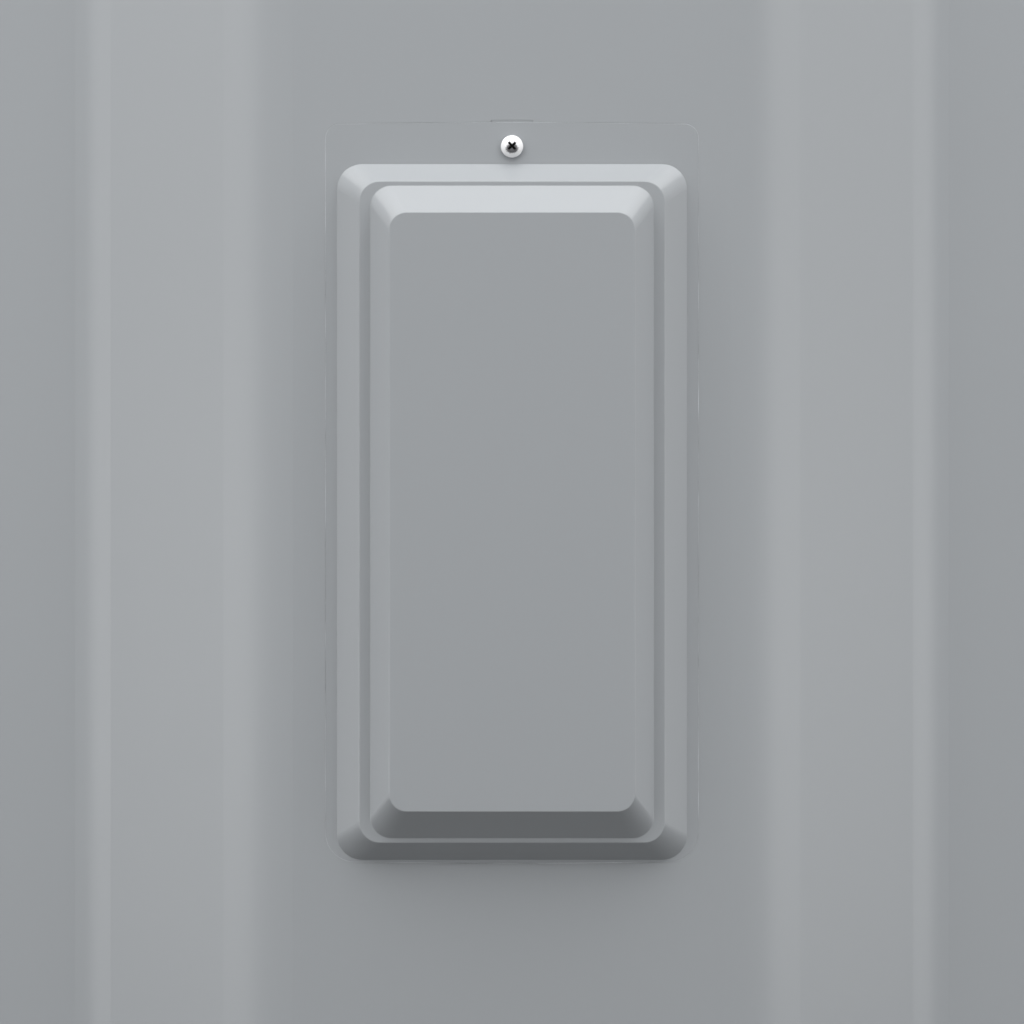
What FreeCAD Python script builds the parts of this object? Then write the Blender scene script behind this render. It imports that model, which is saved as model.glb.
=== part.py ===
import FreeCAD, Part

# A free-standing electronic security gate post for a shop doorway, in millimetres.
# Two moulded half shells close round a pair of steel masts, two flat aerial coils and a service bay.
# The bay has a stepped cover that hooks in at its lower edge and is held by one captive screw at its top.
# Frame: +Z up, X along the post's wide side, the service cover faces -Y.
# The origin is on the floor, under the middle of the foot.
import math
import os

import Sketcher

V = FreeCAD.Vector
SMALL = 1e-3  # the least change of volume that counts as a change, in cubic millimetres
doc = FreeCAD.newDocument("SecurityGate")

# ---------------------------------------------------------------- driving dimensions

SIZES = {
    "Post": {
        "post_height": 1520.0,
        "panel_width": 430.0,
        "panel_depth": 44.0,
        "panel_edge": 14.0,
        "spine_depth": 112.0,
        "spine_face": 185.0,
        "spine_foot": 310.0,
        "spine_brow": 54.0,
        "spine_hollow": 29.0,
        "spine_down": 80.0,
        "spine_lap": 10.0,
        "wall": 3.0,
        "rim": 8.0,
        "rim_fillet": 6.0,
        "vent_width": 96.0,
        "vent_rise": 4.0,
        "vent_pitch": 11.0,
        "vent_corner": 1.9,
    },
    "Foot": {
        "pad_thick": 3.0,
        "pad_hole_slack": 2.0,
        "plate_side": 15.0,
        "plate_out": 10.0,
        "plate_thick": 8.0,
        "plate_corner": 12.0,
        "anchor_in_x": 25.0,
        "anchor_in_y": 20.0,
        "anchor_hole": 12.0,
        "plinth_side": 28.0,
        "plinth_out": 32.0,
        "plinth_height": 96.0,
        "plinth_corner": 46.0,
        "plinth_edge": 10.0,
        "plinth_lift": 1.5,
        "plinth_gap": 0.6,
        "plinth_seam": 0.15,
        "plinth_screw_in": 35.0,
        "plinth_screw_up": 34.0,
        "bracket_width": 20.0,
        "bracket_thick": 2.0,
        "bracket_lap": 12.0,
        "bracket_over": 8.0,
    },
    "Gland": {
        "gland_thread": 20.0,
        "gland_hole": 20.4,
        "gland_bore": 11.0,
        "gland_length": 34.0,
        "gland_collar": 26.0,
        "gland_collar_thick": 1.0,
        "gland_pad_slack": 6.0,
        "gland_dome": 22.0,
        "gland_dome_up": 14.0,
        "gland_dome_rise": 12.0,
        "gland_nut_corners": 30.0,
        "gland_nut_thick": 5.0,
        "gland_nut_bore": 20.1,
    },
    "Masts": {
        "mast_side": 30.0,
        "mast_wall": 2.0,
        "mast_out": 14.5,
        "mast_in": 25.0,
        "mast_down": 120.0,
        "mast_foot_out": 20.0,
        "mast_foot_thick": 6.0,
        "mast_bolt_in": 9.0,
        "mast_bolt": 8.0,
        "mast_bolt_slack": 0.6,
        "mast_bolt_tapped": 8.1,
        "mast_bolt_corners": 15.0,
        "mast_bolt_head": 5.3,
        "mast_washer": 16.0,
        "mast_washer_thick": 1.6,
        "mast_boss_low": 260.0,
        "mast_boss_down": 340.0,
        "bar_low": 250.0,
        "bar_down": 60.0,
        "bar_height": 30.0,
        "bar_thick": 5.0,
    },
    "Cover": {
        "cover_mid": 450.0,
        "bay_side": 8.5,
        "bay_end": 2.0,
        "bay_corner": 8.0,
        "flange_lap": 11.0,
        "flange_over": 26.5,
        "flange_under": 12.7,
        "flange_crown": 0.9,
        "flange_crown_radius": 2600.0,
        "flange_thick": 2.0,
        "flange_top_corner": 5.0,
        "flange_low_corner": 10.5,
        "flange_gap": 0.25,
        "pry_width": 15.0,
        "pry_rise": 0.7,
        "pry_depth": 1.2,
        "ledge_wide": 8.0,
        "ledge_high": 14.8,
        "step_one_corner": 9.0,
        "slope_one_wide": 16.7,
        "slope_one_high": 14.1,
        "land_corner": 7.6,
        "land_rise": 8.0,
        "land_wide": 8.3,
        "land_high": 3.3,
        "step_two_corner": 7.4,
        "slope_two_wide": 13.8,
        "slope_two_high": 20.8,
        "face_corner": 6.4,
        "face_rise": 9.0,
        "cover_wall": 2.2,
        "cover_lean": 1.3,
        "cover_inner_corner": 1.0,
        "cover_edge": 0.55,
        "screw_over": 18.5,
        "seat_gap": 1.0,
        "seat_thick": 3.5,
        "seat_lap": 5.0,
        "gasket_in": 2.0,
        "gasket_off_bay": 1.5,
        "tab_width": 22.0,
        "tab_pitch": 70.0,
        "tab_thick": 2.0,
        "tab_up": 2.4,
        "tab_barb": 3.0,
        "tab_gap": 0.6,
    },
    "CoverScrew": {
        "cover_screw_core": 3.2,
        "cover_screw_slack": 1.4,
        "cover_screw_length": 12.0,
        "cover_screw_point": 0.8,
        "cover_head": 8.06,
        "cover_head_rise": 2.9,
        "cover_head_edge": 0.35,
        "cover_head_brim": 1.1,
        "cover_head_brim_radius": 1.0,
        "cover_head_crown": 4.4,
        "cover_head_crown_drop": 0.25,
        "cover_head_crown_radius": 3.5,
        "cross_span": 4.3,
        "cross_width": 0.95,
        "cross_foot_span": 1.8,
        "cross_foot_width": 0.5,
        "cross_depth": 1.8,
        "keeper_thick": 0.6,
        "keeper_slack": 0.1,
        "insert_outer": 6.4,
        "insert_bore": 4.1,
        "insert_length": 7.0,
    },
    "Fixings": {
        "boss_outer": 11.0,
        "boss_inset": 16.0,
        "shell_screw": 3.0,
        "shell_screw_slack": 0.4,
        "thread_slack": 0.2,
        "shell_head": 7.0,
        "shell_head_rise": 2.6,
        "head_slack": 0.6,
        "head_sink": 5.0,
        "shell_screw_length": 28.0,
        "mast_boss": 14.0,
        "mast_head": 9.0,
        "mast_head_sink": 1.0,
        "mast_hole_slack": 1.4,
        "mast_screw_bite": 5.0,
        "m4": 4.0,
        "m4_tapped": 4.2,
        "m4_hole": 4.4,
        "m4_head": 8.0,
        "m4_head_rise": 2.4,
        "m4_short": 8.0,
        "m4_long": 10.0,
        "m3": 3.0,
        "m3_tapped": 3.1,
        "m3_hole": 3.3,
        "m3_head": 5.6,
        "m3_head_rise": 2.0,
        "m3_length": 7.0,
    },
    "Coils": {
        "coil_inset": 35.0,
        "coil_band": 16.0,
        "coil_depth": 22.0,
        "coil_corner": 32.0,
        "coil_edge": 4.0,
        "coil_low": 120.0,
        "coil_down": 120.0,
        "coil_gap": 30.0,
        "coil_pad_width": 18.0,
        "coil_pad_height": 40.0,
    },
    "Bumper": {
        "bumper_width": 12.0,
        "bumper_sink": 3.0,
        "bumper_proud": 2.5,
        "bumper_gap": 0.3,
        "bumper_edge": 2.0,
    },
    "Lamp": {
        "lens_in": 17.0,
        "lens_shy": 5.0,
        "lens_rise": 92.0,
        "lens_wall": 2.5,
        "lens_edge": 16.0,
        "lens_corner": 24.0,
        "lens_gap": 0.4,
        "lens_post_x": 76.0,
        "lens_post_up": 13.0,
        "lens_post": 9.0,
        "lens_bore_depth": 16.0,
        "lens_screw_length": 14.0,
        "lens_head_rise": 2.0,
        "lamp_board_width": 200.0,
        "lamp_board_height": 44.0,
        "lamp_board_up": 4.0,
        "lamp_hole_in": 8.0,
        "lamp_hole_up": 5.0,
        "lamp_spacer": 6.0,
        "lamp_spacer_outer": 8.0,
        "lamp_led": 5.0,
        "lamp_led_rise": 6.0,
        "lamp_led_pitch": 21.0,
        "lamp_led_row": 9.0,
        "lamp_led_up": 3.0,
    },
    "Sounder": {
        "sounder_outer": 44.0,
        "sounder_depth": 17.0,
        "sounder_down": 190.0,
        "sounder_mouth": 32.0,
        "sounder_mouth_depth": 3.0,
        "grille_bar": 3.0,
        "grille_pitch": 7.0,
        "grille_in": 2.0,
        "grille_corner": 1.4,
        "strap_out": 16.0,
        "strap_width": 14.0,
        "strap_thick": 1.5,
    },
    "Bay": {
        "board_width": 88.0,
        "board_height": 138.0,
        "board_thick": 1.6,
        "board_up": 36.0,
        "board_hole_in": 5.0,
        "standoff": 8.0,
        "standoff_outer": 6.0,
        "tray_edge": 3.5,
        "tray_height": 222.0,
        "tray_sheet": 1.5,
        "tray_front": 17.5,
        "tray_lip_short": 3.5,
        "tray_screw_up": 92.0,
        "toroid_outer": 64.0,
        "toroid_bore": 20.0,
        "toroid_depth": 24.0,
        "toroid_edge": 8.0,
        "toroid_down": 72.0,
        "toroid_pad": 1.0,
        "toroid_pad_in": 2.0,
        "toroid_bolt": 5.0,
        "toroid_bolt_slack": 0.3,
        "toroid_bolt_past": 6.0,
        "clamp_outer": 44.0,
        "clamp_thick": 2.0,
        "clamp_head": 8.5,
        "clamp_head_rise": 3.0,
    },
    "BoardParts": {
        "sink_left": -40.0,
        "sink_up": 24.0,
        "sink_width": 50.0,
        "sink_height": 36.0,
        "sink_base": 3.0,
        "sink_depth": 17.0,
        "sink_fin": 1.6,
        "can_outer": 16.0,
        "can_rise": 19.0,
        "can_x": 29.0,
        "can_up": 22.0,
        "can_pitch": 18.0,
        "small_can_outer": 8.0,
        "small_can_rise": 12.0,
        "small_can_x": -36.0,
        "small_can_up": 10.0,
        "small_can_pitch": 10.0,
        "block_left": -41.0,
        "block_down": 60.0,
        "block_width": 42.0,
        "block_depth": 12.0,
        "block_height": 11.0,
        "pole_in": 2.6,
        "pole_pitch": 5.25,
        "pole_mouth_width": 3.2,
        "pole_mouth_height": 6.0,
        "pole_mouth_deep": 4.0,
        "pole_well": 3.6,
        "pole_well_depth": 2.5,
        "pole_screw": 3.2,
        "pole_screw_rise": 2.2,
        "pole_screw_up": 5.5,
        "fuse_x": -36.0,
        "fuse_down": 34.0,
        "fuse_off": 4.5,
        "fuse_outer": 5.0,
        "fuse_length": 20.0,
        "fuse_slack": 0.2,
        "clip_width": 6.0,
        "clip_depth": 7.0,
        "clip_height": 8.0,
        "clip_out": 3.0,
        "status_led": 3.0,
        "status_led_rise": 5.0,
        "status_led_x": -36.0,
        "status_led_down": 14.0,
        "status_led_pitch": 7.0,
    },
    "Controls": {
        "rocker_x": 27.0,
        "rocker_down": 50.0,
        "rocker_width": 15.0,
        "rocker_depth": 13.0,
        "rocker_height": 21.0,
        "rocker_well_width": 11.4,
        "rocker_well_depth": 8.0,
        "rocker_well_height": 17.4,
        "rocker_pivot": 10.0,
        "rocker_cap_width": 10.4,
        "rocker_cap_half": 7.4,
        "rocker_cap_deep": 2.5,
        "rocker_cap_proud": 2.4,
        "rocker_cap_toe": 2.2,
        "rocker_cap_heel": 0.6,
        "rocker_cap_bend": 12.0,
        "button_x": -4.0,
        "control_down": 14.0,
        "button_side": 8.0,
        "button_rise": 4.0,
        "button_stem": 3.4,
        "button_stem_bore": 4.2,
        "button_bore_depth": 2.4,
        "button_stem_length": 5.0,
        "button_stem_lift": 1.8,
        "button_cap": 6.0,
        "button_cap_rise": 3.0,
        "sensitivity_x": 12.0,
        "volume_x": 32.0,
        "trimmer_side": 13.0,
        "trimmer_rise": 7.0,
        "knob_lift": 0.05,
        "knob_stem": 6.0,
        "knob_stem_rise": 3.0,
        "knob_cap": 12.0,
        "knob_cap_rise": 8.0,
        "pointer_width": 1.2,
        "pointer_depth": 0.6,
        "pointer_length": 6.0,
    },
}

sheet = doc.addObject("Spreadsheet::Sheet", "Dims")


class Dim:
    """A length that carries both its number and the sheet formula that gives it."""

    def __init__(self, number, formula):
        self.number = float(number)
        self.formula = formula

    def join(self, sign, other, number):
        return Dim(number, f"({self.formula} {sign} {as_dim(other).formula})")

    def __add__(self, other):
        return self.join("+", other, self.number + as_dim(other).number)

    def __sub__(self, other):
        return self.join("-", other, self.number - as_dim(other).number)

    def __mul__(self, other):
        return self.join("*", other, self.number * as_dim(other).number)

    def __truediv__(self, other):
        return self.join("/", other, self.number / as_dim(other).number)

    def __radd__(self, other):
        return as_dim(other) + self

    def __rsub__(self, other):
        return as_dim(other) - self

    def __rmul__(self, other):
        return as_dim(other) * self

    def __neg__(self):
        return as_dim(0) - self


def as_dim(value):
    return value if isinstance(value, Dim) else Dim(value, f"{float(value):.6f}")


def setback(distance, rise, run):
    """How far a corner moves along its first side when both sides move in by distance."""
    half_turn = math.atan2(rise.number, run.number) / 2
    formula = f"({distance.formula} * tan(atan({rise.formula} / {run.formula}) / 2))"
    return Dim(distance.number * math.tan(half_turn), formula)


D = {}
row_number = 1
for group, entries in SIZES.items():
    sheet.set(f"A{row_number}", group)
    for alias, number in entries.items():
        row_number += 1
        sheet.set(f"A{row_number}", alias)
        sheet.set(f"B{row_number}", str(number))
        sheet.setAlias(f"B{row_number}", alias)
        D[alias] = Dim(number, f"Dims.{alias}")
    row_number += 1
doc.recompute()

PAST = 1.0  # how far a cutting outline or tool runs past the face it opens
BITE = 0.2  # how deep a joined pad bites into what it joins
CROSS_TURN = 43.0  # degrees between the screw's cross recess and the upright
SIDES = (-1, 1)
BOSS_SHARES = (0.1, 0.28, 0.5, 0.72, 0.9)
COIL_PAD_SHARES = (0.2, 0.8)

# places that several pieces share
plate_top = D["pad_thick"] + D["plate_thick"]
plate_width = D["panel_width"] - 2 * D["plate_side"]
plate_depth = D["spine_depth"] + 2 * D["plate_out"]
anchor_places = [(x * (plate_width / 2 - D["anchor_in_x"]), y * (plate_depth / 2 - D["anchor_in_y"]))
                 for x in SIDES for y in SIDES]
plinth_width = D["panel_width"] + 2 * D["plinth_side"]
plinth_depth = D["spine_depth"] + 2 * D["plinth_out"]
plinth_screw_x = D["panel_width"] / 2 - D["plinth_screw_in"]

face_y = D["spine_depth"] / 2
panel_y = D["panel_depth"] / 2
inner_y = face_y - D["wall"]
panel_inner_y = panel_y - D["wall"]
spine_rise = face_y - panel_y
spine_run = (D["spine_foot"] - D["spine_face"]) / 2
spine_top = D["post_height"] - D["spine_down"]

lens_half = D["spine_foot"] / 2 - D["lens_in"]
lens_z = spine_top + D["lens_gap"]
lens_top = spine_top + D["lens_rise"]
panel_corner = D["panel_width"] / 2 - lens_half - D["lens_shy"]

tray_width = D["board_width"] + 2 * D["tray_edge"]
bay_width = tray_width + 2 * D["bay_side"]
bay_height = D["tray_height"] + 2 * D["bay_end"]
flange_width = bay_width + 2 * D["flange_lap"]
cover_mid = D["cover_mid"]
flange_high_z = cover_mid + bay_height / 2 + D["flange_over"]
hinge_z = cover_mid - bay_height / 2 - D["flange_under"]
screw_z = cover_mid + bay_height / 2 + D["screw_over"]
seat_y = face_y - D["flange_thick"] - D["seat_gap"]
seat_back_y = seat_y - D["seat_thick"]

mast_x = tray_width / 2 + D["mast_out"]
mast_y = face_y - D["mast_in"]
mast_front_y = mast_y - D["mast_side"] / 2
mast_back_y = mast_y + D["mast_side"] / 2
mast_top = D["post_height"] - D["mast_down"]
mast_bolt_x = D["mast_side"] / 2 + D["mast_foot_out"] - D["mast_bolt_in"]
mast_bolt_places = [side * mast_x + out * mast_bolt_x for side in SIDES for out in SIDES]
mast_boss_heights = [D["mast_boss_low"], D["post_height"] - D["mast_boss_down"]]
mast_boss_places = [(side * mast_x, up) for side in SIDES for up in mast_boss_heights]
tray_screw_heights = [cover_mid + side * D["tray_screw_up"] for side in SIDES]

boss_x = D["panel_width"] / 2 - D["boss_inset"]
shell_boss_places = [(side * boss_x, D["post_height"] * share) for side in SIDES for share in BOSS_SHARES]
lens_post_places = [(side * D["lens_post_x"], spine_top + D["lens_post_up"]) for side in SIDES]

board_back = D["tray_front"] + D["standoff"]
board_front = board_back + D["board_thick"]
board_mid = cover_mid + D["board_up"]
sounder_z = D["post_height"] - D["sounder_down"]
toroid_z = cover_mid - D["toroid_down"]

# ---------------------------------------------------------------- ways of making things

nodes = []


def keep(thing, label):
    """Marks an object as one finished sub-part, whose Label names its file."""
    thing.Label = label
    if thing.Label != label:
        raise RuntimeError(f"{label} is already the label of another object")
    nodes.append(thing)
    return thing


def bind(thing, name, value):
    """Ties one property to its sheet formula."""
    value = as_dim(value)
    if "." not in name and "[" not in name:
        setattr(thing, name, value.number)
    thing.setExpression(name, value.formula)


def place(thing, at):
    """Ties a Part object's position to its sheet formulas."""
    thing.Placement.Base = V(*[as_dim(v).number for v in at])
    for axis, value in zip("xyz", at):
        bind(thing, f"Placement.Base.{axis}", value)


def new_body(name):
    return doc.addObject("PartDesign::Body", f"{name}_body")


def round_corner(before, corner, after, radius):
    """Entry point, exit point, arc and sense of a rounded polygon corner."""
    to_before = (before - corner).normalize()
    to_after = (after - corner).normalize()
    half = to_before.getAngle(to_after) / 2
    reach = radius / math.tan(half)
    entry = corner + to_before * reach
    leave = corner + to_after * reach
    middle_way = (to_before + to_after).normalize()
    centre = corner + middle_way * (radius / math.sin(half))
    turns_left = (corner - before).cross(after - corner).z > 0
    first = entry if turns_left else leave
    start = math.atan2(first.y - centre.y, first.x - centre.x)
    arc = Part.ArcOfCircle(Part.Circle(centre, V(0, 0, 1), radius), start, start + math.pi - 2 * half)
    return entry, leave, arc, turns_left


def constrain(sk, entries):
    """Adds constraints in one step, then ties each one that has a value to its sheet formula."""
    first = len(sk.Constraints)
    sk.addConstraint([Sketcher.Constraint(*parts, value.number) if value else Sketcher.Constraint(*parts)
                      for parts, value in entries])
    for index, (parts, value) in enumerate(entries):
        if value:
            sk.setExpression(f"Constraints[{first + index}]", value.formula)


def draw_polygon(sk, corners):
    """Draws a closed outline. A corner is (x, y) or (x, y, radius); every size is tied to the sheet."""
    corners = [[as_dim(v) for v in c] for c in corners]
    points = [V(c[0].number, c[1].number, 0) for c in corners]
    count = len(points)
    rounds = []
    for i, corner in enumerate(corners):
        rounded = len(corner) > 2
        after = points[(i + 1) % count]
        rounds.append(round_corner(points[i - 1], points[i], after, corner[2].number) if rounded else None)
    lines = [Part.LineSegment(points[i], points[(i + 1) % count]) for i in range(count)]
    guides = sk.addGeometry(lines, True)
    starts = [rounds[i][1] if rounds[i] else points[i] for i in range(count)]
    ends = [rounds[i][0] if rounds[i] else points[i] for i in range(count)]
    sides = sk.addGeometry([Part.LineSegment(starts[i], ends[(i + 1) % count]) for i in range(count)], False)
    ties = []
    for i in range(count):
        after = (i + 1) % count
        ties.append((("Coincident", guides[i], 2, guides[after], 1), None))
        ties.append((("DistanceX", -1, 1, guides[i], 1), corners[i][0]))
        ties.append((("DistanceY", -1, 1, guides[i], 1), corners[i][1]))
        ties.append((("PointOnObject", sides[i], 1, guides[i]), None))
        ties.append((("PointOnObject", sides[i], 2, guides[i]), None))
        if rounds[i] is None:
            ties.append((("Coincident", sides[i - 1], 2, sides[i], 1), None))
            continue
        arc = sk.addGeometry(rounds[i][2], False)
        first, last = (1, 2) if rounds[i][3] else (2, 1)
        ties.append((("Tangent", sides[i - 1], 2, arc, first), None))
        ties.append((("Tangent", sides[i], 1, arc, last), None))
        ties.append((("Radius", arc), corners[i][2]))
    constrain(sk, ties)


def draw_circle(sk, x, y, diameter):
    x, y, diameter = as_dim(x), as_dim(y), as_dim(diameter)
    ring = sk.addGeometry(Part.Circle(V(x.number, y.number, 0), V(0, 0, 1), diameter.number / 2), False)
    constrain(sk, [
        (("DistanceX", -1, 1, ring, 3), x),
        (("DistanceY", -1, 1, ring, 3), y),
        (("Diameter", ring), diameter),
    ])


def draw(body, plane, offset, polygons=(), circles=()):
    """A sketch on an origin plane of the body, moved along the plane's normal by offset."""
    sk = body.newObject("Sketcher::SketchObject", f"{body.Name}_sketch")
    support = next(f for f in body.Origin.OriginFeatures if f.Role == f"{plane}_Plane")
    sk.AttachmentSupport = (support, [""])
    sk.MapMode = "FlatFace"
    offset = as_dim(offset)
    sk.AttachmentOffset = FreeCAD.Placement(V(0, 0, offset.number), FreeCAD.Rotation())
    sk.setExpression("AttachmentOffset.Base.z", offset.formula)
    for corners in polygons:
        draw_polygon(sk, corners)
    for x, y, diameter in circles:
        draw_circle(sk, x, y, diameter)
    return sk


def extrude(body, kind, sk, length, towards_normal=True):
    """A Pad or Pocket along the sketch's normal, or against it; stops if it changes nothing."""
    had = body.Shape.Volume if body.Tip else 0.0
    feature = body.newObject(f"PartDesign::{kind}", f"{body.Name}_{kind}")
    feature.Profile = sk
    bind(feature, "Length", length)
    feature.Reversed = towards_normal == (kind == "Pocket")
    doc.recompute()
    changed = body.Shape.Volume - had
    if (kind == "Pad") != (changed > 0) or abs(changed) < SMALL:
        raise RuntimeError(f"{feature.Name} in {body.Name} changed the volume by {changed}")
    return feature


def dress(body, kind, sizes, wanted):
    """A PartDesign Fillet or Chamfer on the edges of the tip that pass the test."""
    tip = body.Tip
    names = [f"Edge{i + 1}" for i, edge in enumerate(tip.Shape.Edges) if wanted(edge)]
    if not names:
        raise RuntimeError(f"{body.Name} has no edge to {kind.lower()}")
    feature = body.newObject(f"PartDesign::{kind}", f"{body.Name}_{kind}")
    feature.Base = (tip, names)
    bind(feature, "Radius" if kind == "Fillet" else "Size", sizes)
    doc.recompute()
    if "Invalid" in feature.State:
        raise RuntimeError(f"{feature.Name} in {body.Name} failed")
    return feature


def hollow_out(body, wall, is_open):
    """A PartDesign Thickness that leaves an inner skin of the given wall and opens the chosen faces."""
    tip = body.Tip
    names = [f"Face{i + 1}" for i, face in enumerate(tip.Shape.Faces) if is_open(face)]
    had = tip.Shape.Volume
    feature = body.newObject("PartDesign::Thickness", f"{body.Name}_Thickness")
    feature.Base = (tip, names)
    bind(feature, "Value", wall)
    feature.Reversed = True
    doc.recompute()
    if "Invalid" in feature.State or not feature.Shape.Volume < had:
        raise RuntimeError(f"{feature.Name} in {body.Name} failed")
    return feature


def near(a, b, slack=0.01):
    return abs(a - as_dim(b).number) < slack


def flat_at(axis, level, slack=0.01):
    """A test for edges that lie in the plane where axis equals level."""
    def test(edge):
        box = edge.BoundBox
        low, high = {"x": (box.XMin, box.XMax), "y": (box.YMin, box.YMax), "z": (box.ZMin, box.ZMax)}[axis]
        return near(low, level, slack) and near(high, level, slack)
    return test


def rounded_box(width, low, high, corner, low_corner=None):
    """Corners of an upright rectangle, from low to high, centred on the sketch's vertical axis."""
    half = as_dim(width) / 2
    foot = corner if low_corner is None else low_corner
    return [(-half, low, foot), (half, low, foot), (half, high, corner), (-half, high, corner)]


def centred_box(width, height, middle, corner):
    return rounded_box(width, middle - as_dim(height) / 2, middle + as_dim(height) / 2, corner)


def box(name, size, corner):
    """A Part box from its size and lowest corner."""
    made = doc.addObject("Part::Box", f"{name}_block")
    for side, value in zip(("Length", "Width", "Height"), size):
        bind(made, side, value)
    place(made, corner)
    return made


AXES = {
    "x": FreeCAD.Rotation(V(0, 1, 0), 90),
    "y": FreeCAD.Rotation(V(1, 0, 0), -90),
    "z": FreeCAD.Rotation(),
    "-y": FreeCAD.Rotation(V(1, 0, 0), 90),
}


def rod(name, diameter, length, start, axis="z"):
    """A Part cylinder that starts at a point and runs along an axis."""
    made = doc.addObject("Part::Cylinder", f"{name}_rod")
    bind(made, "Radius", as_dim(diameter) / 2)
    bind(made, "Height", length)
    made.Placement = FreeCAD.Placement(V(), AXES[axis])
    place(made, start)
    return made


def cut(name, base, *tools):
    for tool in tools:
        made = doc.addObject("Part::Cut", f"{name}_cut")
        made.Base, made.Tool = base, tool
        base = made
    return base


def fuse(name, *pieces):
    made = doc.addObject("Part::MultiFuse", f"{name}_whole")
    made.Shapes = list(pieces)
    return made


def group(name, pieces):
    """Several separate solids that share one node."""
    made = doc.addObject("Part::Compound", f"{name}_set")
    made.Links = pieces
    return made


def tube(name, outer, inner, length, start, axis="z"):
    return cut(name, rod(name, outer, length, start, axis), rod(name, inner, length, start, axis))


def outward(face):
    """The axis that points away from the post on its -Y (-1) or +Y (1) side."""
    return "y" if face > 0 else "-y"


def inward(face):
    return outward(-face)


def screw(name, head, head_rise, shank, length, at, axis):
    """A plain screw: at is the middle of its seat under the head, axis is the way the shank runs."""
    sign = -1 if axis == "-y" else 1
    top = (at[0], at[1] - sign * as_dim(head_rise), at[2])
    socket = rod(name, as_dim(head) / 2, as_dim(head_rise) / 2, top, axis)
    head_part = cut(name, rod(name, head, head_rise, top, axis), socket)
    return fuse(name, head_part, rod(name, shank, length, at, axis))


def cap_screw(name, size, length, at, axis):
    """A small machine screw of a named size."""
    return screw(name, D[f"{size}_head"], D[f"{size}_head_rise"], D[size], length, at, axis)


# ---------------------------------------------------------------- the half shells


def spine_outline(inset, depth_in, side_reach, back):
    """Plan of the swelling spine on the -Y side, moved in from the outer skin by inset."""
    foot = D["spine_foot"] / 2 - setback(as_dim(inset), spine_rise, spine_run)
    brow = D["spine_face"] / 2 - setback(as_dim(inset), spine_rise, spine_run)
    wing = -(panel_y - as_dim(depth_in))
    front = -(face_y - as_dim(inset))
    hollow = D["spine_hollow"] + inset
    round_over = D["spine_brow"] - inset
    return [
        (-side_reach, back), (-side_reach, wing), (-foot, wing, hollow), (-brow, front, round_over),
        (brow, front, round_over), (foot, wing, hollow), (side_reach, wing), (side_reach, back),
    ]


def panel_outline(inset, low):
    """Front view of the panel, moved in from its edge by inset, open to any height below."""
    half = D["panel_width"] / 2 - inset
    top = D["post_height"] - inset
    corner = panel_corner - inset
    return [(-half, low), (half, low), (half, top, corner), (-half, top, corner)]


def is_panel_hollow(edge):
    """True for edges on the rim of the panel's own hollow, away from the spine."""
    bounds = edge.BoundBox
    middle_y = (bounds.YMin + bounds.YMax) / 2
    side = D["panel_width"] / 2 - D["rim"]
    long_way = (panel_corner.number - D["rim"].number) / 2
    on_side = near(abs(bounds.Center.x), side) and near(bounds.XLength, 0)
    on_top = near(bounds.Center.z, D["post_height"] - D["rim"]) and near(bounds.ZLength, 0)
    in_corner = bounds.XLength > long_way and bounds.ZLength > long_way
    return near(middle_y, -panel_inner_y) and bounds.ZMax > plate_top.number + PAST and (
        on_side or on_top or in_corner)


def half_shell(name):
    """One moulded half with its back edge on the seam plane y = 0 and its spine towards -Y."""
    body = new_body(name)
    extrude(body, "Pad", draw(body, "XZ", 0, [panel_outline(0, plate_top)]), panel_y)

    def outer_rim(edge):
        return flat_at("y", -panel_y)(edge) and not flat_at("z", plate_top)(edge)

    dress(body, "Fillet", D["panel_edge"], outer_rim)
    side_reach = D["spine_foot"] / 2 + D["spine_lap"]
    spine = draw(body, "XY", plate_top, [spine_outline(0, 0, side_reach, -D["spine_lap"])])
    extrude(body, "Pad", spine, spine_top - plate_top)

    extrude(body, "Pocket", draw(body, "XZ", 0, [panel_outline(D["rim"], 0)]), panel_inner_y)
    dress(body, "Fillet", D["rim_fillet"], is_panel_hollow)
    hollow = spine_outline(D["wall"], D["wall"], side_reach, -D["spine_lap"])
    extrude(body, "Pocket", draw(body, "XY", 0, [hollow]), spine_top - D["wall"])

    groove = [panel_outline(-D["spine_lap"], 0), panel_outline(D["bumper_sink"], -as_dim(PAST))]
    extrude(body, "Pocket", draw(body, "XZ", 0, groove), D["bumper_width"] / 2)

    bosses = [(x, up, D["boss_outer"]) for x, up in shell_boss_places]
    boss_start = D["bumper_width"] / 2
    extrude(body, "Pad", draw(body, "XZ", boss_start, circles=bosses), panel_inner_y - boss_start + BITE)
    pegs = [(x, up, D["lens_post"]) for x, up in lens_post_places]
    peg_start = panel_y - PAST
    extrude(body, "Pad", draw(body, "XZ", peg_start, circles=pegs), inner_y + BITE - peg_start)
    bores = [(x, up, D["shell_screw"]) for x, up in lens_post_places]
    bore_start = inner_y - D["lens_bore_depth"]
    extrude(body, "Pocket", draw(body, "XZ", bore_start, circles=bores), D["lens_bore_depth"] + D["wall"])
    return body


def flange_outline(grow):
    """Outline of the cover's flange, with its slightly crowned top and bottom."""
    half = flange_width / 2 + grow
    top = flange_high_z + grow
    low = hinge_z - grow
    crown = D["flange_crown_radius"]
    return [
        (-half, low, D["flange_low_corner"] + grow), (0, low - D["flange_crown"], crown),
        (half, low, D["flange_low_corner"] + grow), (half, top, D["flange_top_corner"] + grow),
        (0, top + D["flange_crown"], crown), (-half, top, D["flange_top_corner"] + grow),
    ]


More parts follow.
